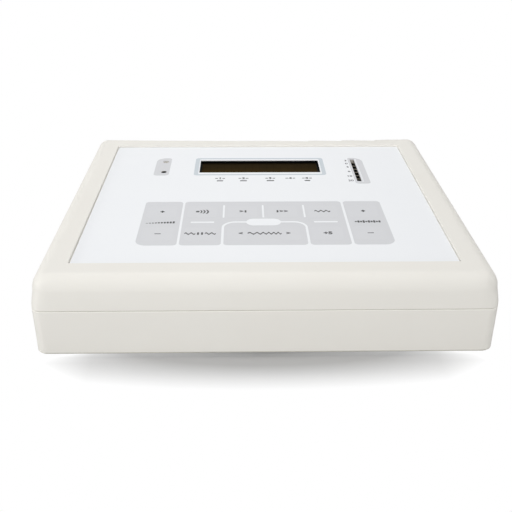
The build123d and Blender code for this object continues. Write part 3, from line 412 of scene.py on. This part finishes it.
# Nylon from a grained mould: black with a dull sheen on its edges
black_nylon = moulded("moulded_black_nylon", "111112", "19191B", 8 * MM, 0.6 * MM, 0.02 * MM, 0.38, 0.5)
# Filled epoxy from a blasted mould: flat charcoal
chip_epoxy = moulded("moulded_chip_epoxy", "17181A", "202124", 6 * MM, 0.3 * MM, 0.01 * MM, 0.5, 0.62)
# Polyester from a polished mould: blue-black with clear highlights
relay_case = moulded("moulded_relay_case", "1A1B22", "22232B", 8 * MM, 0.5 * MM, 0.01 * MM, 0.3, 0.4)
# Moulded rubber: black, dusty and without highlights
rubber = moulded("moulded_black_rubber", "1B1B1C", "262627", 5 * MM, 0.7 * MM, 0.04 * MM, 0.75, 0.9)
# Nylon of the cable's plugs: mid grey, half matt
grey_nylon = moulded("moulded_grey_nylon", "4A4B4E", "56575A", 8 * MM, 0.5 * MM, 0.01 * MM, 0.4, 0.5)
# Extruded aluminium, anodised: satin black
anodised = moulded("black_anodised_aluminium", "141416", "1D1D20", 10 * MM, 0.5 * MM, 0.01 * MM, 0.4, 0.5)
# Vinyl shrunk over a can: smooth dark blue with clear highlights
can_sleeve = moulded("shrunk_vinyl_sleeve", "1B2437", "232D42", 12 * MM, 0.8 * MM, 0.02 * MM, 0.3, 0.4)
# Powder paint, baked: warm grey with a shallow orange peel
back_paint = moulded("grey_powder_paint", "C9C8C2", "D2D1CB", 20 * MM, 0.8 * MM, 0.03 * MM, 0.45, 0.58)
# Filled resin of a lamp that is off: milky grey-green
lamp_resin = moulded("diffused_lamp_resin", "A3A08F", "AEAB9B", 2 * MM, 0.5 * MM, 0.01 * MM, 0.3, 0.4)
# Pressed felt: its fibres swallow nearly all light, so the hole reads as black
felt = moulded("black_felt", "020202", "070707", 0.8 * MM, 0.3 * MM, 0.1 * MM, 0.9, 1.0,
               Specular_IOR_Level=0.0)
# Screen-printed inks: charcoal and white, matt and flat
ink = moulded("screen_printed_ink", "1A1B1D", "232427", 3 * MM, 0.3 * MM, 0.002 * MM, 0.4, 0.5)
white_ink = moulded("white_marking_ink", "E8E8E6", "DCDCDA", 3 * MM, 0.3 * MM, 0.002 * MM, 0.4, 0.5)
# Vinyl skin of a wire: red, smooth, half gloss
wire_skin = moulded("vinyl_wire_skin", "8E1F1C", "A02824", 6 * MM, 0.5 * MM, 0.01 * MM, 0.35, 0.45)
# Brass, turned and nickel plated: a warm bright metal
nickel = metal("nickel_plated_brass", "C9C6BE", "DAD7D0", 0.8 * MM, 0.2, 0.34)
# Steel, zinc plated: cooler and duller than the nickel
zinc = metal("zinc_plated_steel", "B5B8BC", "C9CCD0", 0.7 * MM, 0.3, 0.45)

finishes = {
    "top_cover": ivory_cover,
    "bottom_tray": ivory_tray,
    "graphic_overlay": white_film,
    "display_lens": acrylic,
    "display_bezel": black_steel,
    "display_glass": crystal,
    "display_board": board,
    "panel_board": board,
    "main_board": board,
    "key_switches": black_nylon,
    "meter_housing": meter_casing(),
    "meter_segments": unlit_segments(),
    "lamp_spacer": black_nylon,
    "indicator_lamp": lamp_resin,
    "microphone": felt,
    "microphone_boot": rubber,
    "rear_panel": back_paint,
    "jack_nuts": nickel,
    "inlet_nut": nickel,
    "power_inlet": black_nylon,
    "switch_housing": black_nylon,
    "power_rocker": black_nylon,
    "switch_wires": wire_skin,
    "processor": chip_epoxy,
    "signal_converters": chip_epoxy,
    "output_amplifiers": chip_epoxy,
    "output_relays": relay_case,
    "capacitors": can_sleeve,
    "heat_sink": anodised,
    "voltage_regulator": chip_epoxy,
    "cable_headers": black_nylon,
    "cable_plugs": grey_nylon,
    "ribbon_cable": flat_cable(),
    "case_screws": zinc,
    "panel_screws": zinc,
    "main_screws": zinc,
    "feet": rubber,
}
jacks = ("left_phone_jack", "right_phone_jack", "bone_jack", "response_jack", "insert_phone_jack")
key_nodes = [name for name in frame["nodes"] if name.startswith("key_") and name != "key_switches"]
finishes.update({name: black_nylon for name in jacks})
finishes.update({name: grey_film for name in key_nodes})
body_of_node = {node: body for body, members in record["bodies"].items() for node in members}
for name, obj in frame["nodes"].items():
    for material_slot in obj.material_slots:
        material_slot.material = finishes[name]


# Pieces

FACE_TOLERANCE, FACING_UP = 0.05 * MM, 0.99


def start():
    """Nothing is selected and no mode is open, so an operator works on what comes next alone."""
    if bpy.context.object and bpy.context.object.mode != "OBJECT":
        bpy.ops.object.mode_set(mode="OBJECT")
    bpy.ops.object.select_all(action="DESELECT")


def open_mesh(piece):
    """Opens a piece's mesh with nothing selected, to select and move its faces."""
    start()
    piece.select_set(True)
    bpy.context.view_layer.objects.active = piece
    bpy.ops.object.mode_set(mode="EDIT")
    bpy.ops.mesh.select_mode(type="FACE")
    bpy.ops.mesh.select_all(action="DESELECT")


def apply_place(obj):
    start()
    obj.select_set(True)
    bpy.context.view_layer.objects.active = obj
    bpy.ops.object.transform_apply(location=True, rotation=True, scale=True)


def join(pieces, name):
    """Joins pieces into one, which gets the name."""
    start()
    for piece in pieces:
        piece.select_set(True)
    bpy.context.view_layer.objects.active = pieces[0]
    if len(pieces) > 1:
        bpy.ops.object.join()
    joined = bpy.context.object
    joined.name = name
    joined.data.name = name
    return joined


def finish_piece(piece, name, material, body):
    """Names a piece, gives it its finish and sets it on its body."""
    piece.name = name
    piece.data.name = name
    piece.data.materials.clear()
    piece.data.materials.append(material)
    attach(piece, body)
    return piece


def smooth_copy(node, degrees):
    """A copy of a CAD node, merged and shaded smooth over its curved faces, in place of the node."""
    source = frame["nodes"][node]
    start()
    mesh = source.data.copy()
    piece = bpy.data.objects.new(node + "_finished", mesh)
    bpy.context.scene.collection.objects.link(piece)
    piece.select_set(True)
    bpy.context.view_layer.objects.active = piece
    bpy.ops.object.mode_set(mode="EDIT")
    bpy.ops.mesh.select_all(action="SELECT")
    bpy.ops.mesh.customdata_custom_splitnormals_clear()
    bpy.ops.mesh.remove_doubles(threshold=MERGE_REACH)
    bpy.ops.object.mode_set(mode="OBJECT")
    bpy.ops.object.shade_smooth_by_angle(angle=radians(degrees))
    finish_piece(piece, node + "_finished", finishes[node], body_of_node[node])
    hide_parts(node)
    return piece


MERGE_REACH = 0.002 * MM
SMOOTH_ANGLE, FOOT_ANGLE = 30, 40                # in degrees; sharper edges stay crisp
for node in ("top_cover", "bottom_tray", "feet", "jack_nuts", "inlet_nut", "power_inlet", "power_rocker",
             "indicator_lamp", "capacitors", *jacks):
    smooth_copy(node, FOOT_ANGLE if node == "feet" else SMOOTH_ANGLE)

# The tray's lip rises inside the parting line, so that the line shows thin
tray = bpy.data.objects["bottom_tray_finished"]
open_mesh(tray)
tray_mesh = bmesh.from_edit_mesh(tray.data)
for face in tray_mesh.faces:
    height = face.calc_center_median().z - (cover_low.z - PARTING_GAP)
    face.select_set(face.normal.z > FACING_UP and abs(height) < FACE_TOLERANCE)
bmesh.update_edit_mesh(tray.data)
bpy.ops.mesh.extrude_region_move(TRANSFORM_OT_translate={"value": (0, 0, LIP_RISE)})
bpy.ops.object.mode_set(mode="OBJECT")

# The cover's front corners are softer at the round edge than along the parting line. Cuts through
# the start and a quarter of each soft corner give its flat sides the vertices that the bend needs.
SHARP_CORNER, SOFT_CORNER, SOFT_HEIGHT = 7.5 * MM, 13.5 * MM, 11.5 * MM
CORNER_CUTS = (0.0, 0.25 * SOFT_CORNER)
setback = SOFT_CORNER - SHARP_CORNER
corner_x, corner_y = cover_high.x - SOFT_CORNER, cover_low.y + SOFT_CORNER
cover = bpy.data.objects["top_cover_finished"]
open_mesh(cover)
for cut in CORNER_CUTS:
    for place, across in (((corner_x + cut, 0, 0), (1, 0, 0)), ((-corner_x - cut, 0, 0), (1, 0, 0)),
                          ((0, corner_y - cut, 0), (0, 1, 0))):
        bpy.ops.mesh.select_all(action="SELECT")
        bpy.ops.mesh.bisect(plane_co=place, plane_no=across)
bpy.ops.object.mode_set(mode="OBJECT")
for vertex in cover.data.vertices:
    right, ahead = abs(vertex.co.x) - corner_x, corner_y - vertex.co.y
    if right <= 0 or ahead <= 0:
        continue
    # Reach of the sharp corner from the soft corner's centre, at this vertex's angle: first its
    # flat side, then its round. The vertex moves in by the soft corner's share of that reach.
    turn = atan2(min(ahead, right), max(ahead, right))
    if SOFT_CORNER * tan(turn) <= setback:
        reach = SOFT_CORNER / cos(turn)
    else:
        lean = setback * (cos(turn) + sin(turn))
        reach = lean + sqrt(lean * lean - 2 * setback * setback + SHARP_CORNER * SHARP_CORNER)
    share = min(1.0, max(0.0, (vertex.co.z - cover_low.z) / SOFT_HEIGHT)) ** 2
    factor = 1 + share * (SOFT_CORNER / reach - 1)
    vertex.co.x = (corner_x + right * factor) * (1 if vertex.co.x > 0 else -1)
    vertex.co.y = corner_y - ahead * factor


def cap_extent(node):
    """Lowest and highest place of a key's flush cap, without the flange below it."""
    obj = frame["nodes"][node]
    places = [obj.matrix_world @ vertex.co for vertex in obj.data.vertices]
    top = [place for place in places if place.z > film_z - FACE_TOLERANCE]
    low = Vector([min(place[axis] for place in top) for axis in range(3)])
    return low, Vector([max(place[axis] for place in top) for axis in range(3)])


def film_bridge(node):
    """The film spans the gap round a key: a flush ring in the same print, held by the case."""
    low, high = cap_extent(node)
    middle, half = (low + high) / 2, (high - low) / 2
    start()
    bpy.ops.mesh.primitive_plane_add(size=2)
    ring = bpy.context.object
    ring.scale = (half.x + BRIDGE_REACH, half.y + BRIDGE_REACH, 1)
    apply_place(ring)
    bpy.ops.object.mode_set(mode="EDIT")
    bpy.ops.mesh.select_all(action="SELECT")
    bpy.ops.mesh.bevel(offset=BRIDGE_CORNER, segments=6, affect="VERTICES")
    bpy.ops.mesh.select_all(action="SELECT")
    bpy.ops.mesh.inset(thickness=BRIDGE_WIDTH, use_even_offset=True)
    bpy.ops.mesh.delete(type="FACE")
    bpy.ops.mesh.select_all(action="SELECT")
    bpy.ops.mesh.extrude_region_move(TRANSFORM_OT_translate={"value": (0, 0, BRIDGE_THICKNESS)})
    bpy.ops.mesh.select_all(action="SELECT")
    bpy.ops.mesh.normals_make_consistent(inside=False)
    bpy.ops.object.mode_set(mode="OBJECT")
    ring.location = (middle.x, middle.y, film_z + BRIDGE_LIFT)
    apply_place(ring)
    return ring


BRIDGE_REACH, BRIDGE_WIDTH, BRIDGE_CORNER = 0.3 * MM, 0.5 * MM, 3.3 * MM
BRIDGE_THICKNESS, BRIDGE_LIFT = 0.012 * MM, 0.004 * MM
bridges = join([film_bridge(name) for name in key_nodes], "film_bridges")
finish_piece(bridges, "film_bridges", white_film, "case")

# Dust screen in the microphone's hole: black felt in an ivory ring, just under the film
SCREEN_RADIUS, SCREEN_THICKNESS, SCREEN_RING, SCREEN_DEPTH = 2.45 * MM, 0.5 * MM, 0.2 * MM, 0.3 * MM
FELT_SHIFT = Vector((0.1, -0.1, -0.1)) * MM
capsule_low, capsule_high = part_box("microphone")
screen_place = (capsule_low + capsule_high) / 2
screen_place.z = film_z - SCREEN_DEPTH
start()
bpy.ops.mesh.primitive_cylinder_add(vertices=48, radius=SCREEN_RADIUS, depth=SCREEN_THICKNESS)
screen = bpy.context.object
open_mesh(screen)
screen_mesh = bmesh.from_edit_mesh(screen.data)
for face in screen_mesh.faces:
    face.select_set(face.normal.z > FACING_UP)
bmesh.update_edit_mesh(screen.data)
bpy.ops.mesh.inset(thickness=SCREEN_RING)
bpy.ops.transform.translate(value=FELT_SHIFT)
bpy.ops.object.mode_set(mode="OBJECT")
felt_faces = [face.index for face in screen.data.polygons if face.select]
screen.location = screen_place
apply_place(screen)
finish_piece(screen, "microphone_screen", ivory_abs, "case")
screen.data.materials.append(felt)
for index in felt_faces:
    screen.data.polygons[index].material_index = 1


# Printed signs. They lie a quarter of their thickness in the face below. The places and sizes
# that the next functions take, and the values for the signs, are in millimetres.

INK_THICKNESS, INK_SUNK = 0.05 * MM, 0.0125 * MM
CAPITAL_SHARE = 0.73                             # height of a capital as a share of the type size
BAR_ROUND = 0.3                                  # corners as a share of a bar's smaller side
WAVE_LINE, WAVE_STEPS = 1.7, 24                  # width of a wave's line, and steps in each turn


def ink_text(words, x, y, height, z=film_z, bold=0.0):
    """Flat printed characters with their middle at x, y."""
    start()
    bpy.ops.object.text_add()
    text = bpy.context.object
    text.data.body = words
    text.data.align_x = "CENTER"
    text.data.align_y = "CENTER"
    text.data.size = height * MM / CAPITAL_SHARE
    text.data.offset = bold * MM
    text.data.resolution_u = 4
    text.data.extrude = INK_THICKNESS / 2
    bpy.ops.object.convert(target="MESH")
    text = bpy.context.object
    text.location = (x * MM, y * MM, z + INK_THICKNESS / 2 - INK_SUNK)
    apply_place(text)
    return text


def lay_ink(sheet, x, y):
    """Gives a flat shape that is open in edit mode the thickness of ink, and lays it at x, y."""
    bpy.ops.mesh.extrude_region_move(TRANSFORM_OT_translate={"value": (0, 0, INK_THICKNESS)})
    bpy.ops.mesh.select_all(action="SELECT")
    bpy.ops.mesh.normals_make_consistent(inside=False)
    bpy.ops.object.mode_set(mode="OBJECT")
    sheet.location = (x * MM, y * MM, film_z - INK_SUNK)
    apply_place(sheet)
    return sheet


def ink_bar(x, y, width, depth):
    """A flat printed bar with rounded corners."""
    start()
    bpy.ops.mesh.primitive_plane_add(size=1)
    bar = bpy.context.object
    bar.scale = (width * MM, depth * MM, 1)
    apply_place(bar)
    bpy.ops.object.mode_set(mode="EDIT")
    bpy.ops.mesh.select_all(action="SELECT")
    bpy.ops.mesh.bevel(offset=min(width, depth) * BAR_ROUND * MM, segments=3, affect="VERTICES")
    return lay_ink(bar, x, y)


def ink_wave(x, y, length, height, turns, quicken=0.0):
    """A printed wave: so many turns over its length, the last ones quicker by quicken."""
    start()
    bpy.ops.mesh.primitive_grid_add(x_subdivisions=WAVE_STEPS * turns, y_subdivisions=1, size=1)
    wave = bpy.context.object
    wave.scale = (length * MM, WAVE_LINE * MM, 1)
    apply_place(wave)
    for vertex in wave.data.vertices:
        along = vertex.co.x / (length * MM) + 0.5
        phase = along * (1 - quicken) + along * along * quicken
        vertex.co.y += height * MM / 2 * sin(2 * pi * turns * phase)
    bpy.ops.object.mode_set(mode="EDIT")
    bpy.ops.mesh.select_all(action="SELECT")
    return lay_ink(wave, x, y)


def key_middle(node):
    low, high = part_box(node)
    return (low + high) / 2 / MM


def mark_key(node, *marks):
    """Joins the marks of a key, which move with it."""
    finish_piece(join(marks, node + "_mark"), node + "_mark", ink, body_of_node[node])


# Signs on the keys. Their places are counted from the middle of their key's cap.
LEVEL_SHIFT = 0.5
PLUS_WIDTH, PLUS_DEPTH, PLUS_STROKE = 3.2, 3.4, 1.2
MINUS_WIDTH, MINUS_STROKE = 4.4, 0.9
EAR_DOT, EAR_DOT_SHIFT, EAR_BOLD = 2.6, -3.4, 0.3
EAR_ARCS = ((-0.6, 3.4), (1.6, 4.2), (4.0, 5.0))           # place and height
ARROW_HEIGHT, SIGN_BOLD = 3.6, 0.28
GATE_WIDTH, GATE_DEPTH = 1.4, 3.8
INPUT_ARROW, INPUT_GATE = -0.6, 2.3
OUTPUT_GATE, OUTPUT_ARROWS = -3.6, (-0.6, 2.7)
WAVE_HEIGHT = 2.2
TEST_LENGTH, TEST_TURNS = 11.6, 3
PAUSE_LENGTH, PAUSE_TURNS = 7.6, 2
PAUSE_WAVES, PAUSE_GATES = (-7.0, 7.2), (-1.3, 1.5)
SLOWER_ARROW, FASTER_ARROW = 2.6, -1.4
EXTRA_SHIFT, EXTRA_HEIGHT = 0.5, 4.2


def arrow(sign, middle, shift):
    return ink_text(sign, middle.x + shift, middle.y, ARROW_HEIGHT, bold=SIGN_BOLD)


def gate(middle, shift):
    return ink_bar(middle.x + shift, middle.y, GATE_WIDTH, GATE_DEPTH)


def pause_wave(middle, shift):
    return ink_wave(middle.x + shift, middle.y, PAUSE_LENGTH, WAVE_HEIGHT, PAUSE_TURNS)


for name in ("level", "masking"):
    up, down = key_middle("key_" + name + "_up"), key_middle("key_" + name + "_down")
    mark_key("key_" + name + "_up", ink_bar(up.x + LEVEL_SHIFT, up.y, PLUS_WIDTH, PLUS_STROKE),
             ink_bar(up.x + LEVEL_SHIFT, up.y, PLUS_STROKE, PLUS_DEPTH))
    mark_key("key_" + name + "_down", ink_bar(down.x + LEVEL_SHIFT, down.y, MINUS_WIDTH, MINUS_STROKE))
ear = key_middle("key_ear")
mark_key("key_ear", ink_bar(ear.x + EAR_DOT_SHIFT, ear.y, EAR_DOT, EAR_DOT),
         *[ink_text(")", ear.x + shift, ear.y, height, bold=EAR_BOLD) for shift, height in EAR_ARCS])
source = key_middle("key_input")
mark_key("key_input", arrow(">", source, INPUT_ARROW), gate(source, INPUT_GATE))
output = key_middle("key_output")
mark_key("key_output", gate(output, OUTPUT_GATE), *[arrow(">", output, shift) for shift in OUTPUT_ARROWS])
trial = key_middle("key_test")
mark_key("key_test", ink_wave(trial.x, trial.y, TEST_LENGTH, WAVE_HEIGHT, TEST_TURNS))
pause = key_middle("key_interrupt")
mark_key("key_interrupt", pause_wave(pause, PAUSE_WAVES[0]), gate(pause, PAUSE_GATES[0]),
         gate(pause, PAUSE_GATES[1]), pause_wave(pause, PAUSE_WAVES[1]))
slower, faster = key_middle("key_frequency_down"), key_middle("key_frequency_up")
mark_key("key_frequency_down", arrow("<", slower, SLOWER_ARROW))
mark_key("key_frequency_up", arrow(">", faster, FASTER_ARROW))
extra = key_middle("key_extra_level")
mark_key("key_extra_level", ink_text("+5", extra.x + EXTRA_SHIFT, extra.y, EXTRA_HEIGHT, bold=SIGN_BOLD))

# Signs on the film: level wedge, masking bars, frequency wave, legend numerals, meter scale.
# Their places are counted from the middle of the case.
LEVEL_X, LEVEL_PITCH, LEVEL_SHORTEST, LEVEL_GROWTH = -73.3, 2.1, 0.6, 0.3
MASKING_X, MASKING_PITCH = 75.1, 1.89
MASKING_BARS = (1.68, 3.36, 2.4, 4.08, 1.92, 3.6, 2.64, 3.84, 2.16, 3.12)
BAR_WIDTH = 1.5
FREQUENCY_X, FREQUENCY_LENGTH, FREQUENCY_HEIGHT, FREQUENCY_TURNS, QUICKEN = 0.6, 23.5, 2.4, 6, 0.35
LEGEND = ((-32.8, 5.2), (-13.8, 5.6), (8.0, 6.0), (24.4, 0), (38.0, 4.6))   # place, width of the bar below
LEGEND_BACK, LEGEND_FRONT, LEGEND_HEIGHT, LEGEND_BOLD = 34.4, 29.2, 3.6, 0.22
DASH_SHIFT, DASH_WIDTH, DASH_STROKE, LEGEND_STROKE = 2.9, 2.2, 1.2, 1.9
METER_SCALE = (("3", 74.2), ("0", 67.2), ("3", 59.2), ("6", 48.9), ("10", 38.5), ("20", 28.9))
SCALE_RIGHT, DIGIT_SHIFT, SCALE_HEIGHT, SCALE_BOLD = 75.4, 1.0, 3.3, 0.08
between_rows = (key_middle("key_level_up").y + key_middle("key_level_down").y) / 2
last_bar = len(MASKING_BARS) - 1
film_marks = []
for number, depth in enumerate(MASKING_BARS):
    aside = number - last_bar / 2
    growing = LEVEL_SHORTEST + LEVEL_GROWTH * number
    foot = between_rows - LEVEL_GROWTH * (last_bar - number) / 2
    film_marks.append(ink_bar(LEVEL_X + LEVEL_PITCH * aside, foot, BAR_WIDTH, growing))
    film_marks.append(ink_bar(MASKING_X + MASKING_PITCH * aside, between_rows, BAR_WIDTH, depth))
film_marks.append(ink_wave(FREQUENCY_X, slower.y, FREQUENCY_LENGTH, FREQUENCY_HEIGHT, FREQUENCY_TURNS,
                           QUICKEN))
for number, (x, under) in enumerate(LEGEND):
    film_marks.append(ink_text(str(number + 1), x, LEGEND_BACK, LEGEND_HEIGHT, bold=LEGEND_BOLD))
    film_marks.append(ink_bar(x - DASH_SHIFT, LEGEND_BACK, DASH_WIDTH, DASH_STROKE))
    film_marks.append(ink_bar(x + DASH_SHIFT, LEGEND_BACK, DASH_WIDTH, DASH_STROKE))
    if under:
        film_marks.append(ink_bar(x, LEGEND_FRONT, under, LEGEND_STROKE))
for words, y in METER_SCALE:
    x = SCALE_RIGHT - DIGIT_SHIFT * len(words)
    film_marks.append(ink_text(words, x, y, SCALE_HEIGHT, bold=SCALE_BOLD))
finish_piece(join(film_marks, "film_marks"), "film_marks", ink, "case")

# On and off marks on the two faces of the power rocker, which rests with its lower half pressed in:
# each mark's place from the hinge in millimetres, and the lean of its face in degrees
ROCKER_MARKS = (("I", Vector((0, 3.255, 3.704)), 24.0), ("O", Vector((0, 1.467, -4.708)), 0.0))
ROCKER_SIGN, ROCKER_BOLD = 3.4, 0.12
hinge = Vector([joint for joint in record["joints"] if joint["child"] == "power_rocker"][0]["pos_m"])
rocker_marks = []
for words, aside, lean in ROCKER_MARKS:
    sign = ink_text(words, 0, 0, ROCKER_SIGN, z=0, bold=ROCKER_BOLD)
    sign.rotation_euler = (pi / 2 + radians(lean), 0, pi)
    sign.location = hinge + aside * MM
    apply_place(sign)
    rocker_marks.append(sign)
finish_piece(join(rocker_marks, "rocker_marks"), "rocker_marks", white_ink, "power_rocker")

# Camera, as the photograph was taken: lengths in millimetres, angles in degrees
CAMERA_PLACE = Vector((-14.16, -528.49, 281.81)) * MM
CAMERA_DOWN, CAMERA_RIGHT, CAMERA_TILT = radians(27.894), radians(1.1013), radians(0.2149)
LENS, SENSOR = 52.03, 36.0
camera_data = bpy.data.cameras.new("camera")
camera = bpy.data.objects.new("camera", camera_data)
bpy.context.scene.collection.objects.link(camera)
turned = Matrix.Rotation(-CAMERA_RIGHT, 4, "Z") @ Matrix.Rotation(pi / 2 - CAMERA_DOWN, 4, "X")
camera.matrix_world = Matrix.Translation(CAMERA_PLACE) @ turned @ Matrix.Rotation(CAMERA_TILT, 4, "Z")
camera_data.lens = LENS
camera_data.sensor_width = SENSOR
bpy.context.scene.camera = camera
bpy.context.scene.view_settings.view_transform = "Standard"

# Floor of paper: matt grey, it takes the real shadow. For the camera, white is painted over it, fading in
# round a pool in front of the case and one behind it, so the shadow that shows is shaped by painted light.
# Places and distances are in metres.
FLOOR_SIZE = 30
FRONT_SHADE, CASE_MIDDLE, BACK_SHADE = (0, -0.12, 0), (0, 0, 0), (0, 0.04, 0)
ACROSS, AHEAD, OVAL = (1, 0, 0), (0, 1, 0), (0.25, 1, 0)
start()
bpy.ops.mesh.primitive_plane_add(size=FLOOR_SIZE)
floor = bpy.context.object
floor.name = "floor"
paper = bpy.data.materials.new("paper_with_painted_white")
paper.use_nodes = True
paper.node_tree.nodes.clear()
floor_place = add_node(paper, "ShaderNodeTexCoord", output="Object")


def whiten_with_distance(middle, shape, starts, ends, amount):
    """Rises from 0 to amount with the distance from middle, measured in an oval of that shape."""
    away = add_node(paper, "ShaderNodeVectorMath", {0: floor_place, 1: middle}, operation="SUBTRACT")
    oval = add_node(paper, "ShaderNodeVectorMath", {0: away, 1: shape}, operation="MULTIPLY")
    far = add_node(paper, "ShaderNodeVectorMath", {0: oval}, "Value", operation="LENGTH")
    rise = {"Value": far, "From Min": starts, "From Max": ends, "To Max": amount}
    return add_node(paper, "ShaderNodeMapRange", rise)


towards_ends = whiten_with_distance(FRONT_SHADE, ACROSS, starts=0.0, ends=0.13, amount=0.55)
near_edge = whiten_with_distance(FRONT_SHADE, AHEAD, starts=0.021, ends=0.006, amount=1.0)
share = add_node(paper, "ShaderNodeMath", {0: towards_ends, 1: near_edge}, operation="MULTIPLY")
for more in (
    whiten_with_distance(FRONT_SHADE, OVAL, starts=0.025, ends=0.050, amount=1.0),     # in front of the case
    whiten_with_distance(FRONT_SHADE, AHEAD, starts=0.015, ends=0.006, amount=0.45),   # under its front edge
    whiten_with_distance(FRONT_SHADE, ACROSS, starts=0.112, ends=0.16, amount=0.56),   # beside its corners
):
    share = add_node(paper, "ShaderNodeMath", {0: share, 1: more}, operation="ADD", use_clamp=True)

# The shadow at the back is kept whole: nothing is whitened under the case and just behind it
beside = whiten_with_distance(CASE_MIDDLE, ACROSS, starts=0.09, ends=0.142, amount=1.0)
behind = whiten_with_distance(BACK_SHADE, AHEAD, starts=0.1, ends=0.14, amount=1.0)
outside = add_node(paper, "ShaderNodeMath", {0: beside, 1: behind}, operation="MAXIMUM")
share = add_node(paper, "ShaderNodeMath", {0: share, 1: outside}, operation="MINIMUM")
camera_ray = add_node(paper, "ShaderNodeLightPath", output="Is Camera Ray")
seen_share = add_node(paper, "ShaderNodeMath", {0: camera_ray, 1: share}, operation="MULTIPLY")
matt = add_node(paper, "ShaderNodeBsdfDiffuse", {"Color": "C6C6C6"})
white = add_node(paper, "ShaderNodeEmission", {"Color": WHITE, "Strength": 1.0})
mixed = add_node(paper, "ShaderNodeMixShader", {0: seen_share, 1: matt, 2: white})
add_node(paper, "ShaderNodeOutputMaterial", {"Surface": mixed})
floor.data.materials.append(paper)

# World: a soft grey room for the light, white where it is seen or mirrored
ROOM_LIGHT = 0.18
world = bpy.data.worlds.new("studio")
bpy.context.scene.world = world
world.use_nodes = True
world.node_tree.nodes.clear()
seen = 0.0
for kind in ("Is Camera Ray", "Is Glossy Ray", "Is Transmission Ray"):
    ray = add_node(world, "ShaderNodeLightPath", output=kind)
    seen = add_node(world, "ShaderNodeMath", {0: seen, 1: ray}, operation="MAXIMUM")
strength = add_node(world, "ShaderNodeMapRange", {"Value": seen, "To Min": ROOM_LIGHT, "To Max": 1.0})
light = add_node(world, "ShaderNodeBackground", {"Color": WHITE, "Strength": strength})
add_node(world, "ShaderNodeOutputWorld", {"Surface": light})

# Soft square lamps, turned to the case: place and size in metres, power in watts
LAMP_AIM = Vector((0, 0, 0.03))
LAMPS = (
    ("back_light", (-0.12, 0.8, 1.5), 0.8, 13.2),
    ("front_light", (0.0, -2.2, 0.32), 0.5, 9.2),
    ("top_light", (-0.1, -1.5, 1.5), 1.4, 20.5),
    ("left_light", (-1.8, -0.3, 0.38), 0.8, 11.5),
    ("right_light", (1.9, 0.1, 0.4), 0.8, 4),
)
for name, place, size, power in LAMPS:
    data = bpy.data.lights.new(name, "AREA")
    data.shape = "SQUARE"
    data.size = size
    data.energy = power
    lamp = bpy.data.objects.new(name, data)
    bpy.context.scene.collection.objects.link(lamp)
    lamp.location = place
    lamp.rotation_euler = (LAMP_AIM - Vector(place)).to_track_quat("-Z", "Y").to_euler()
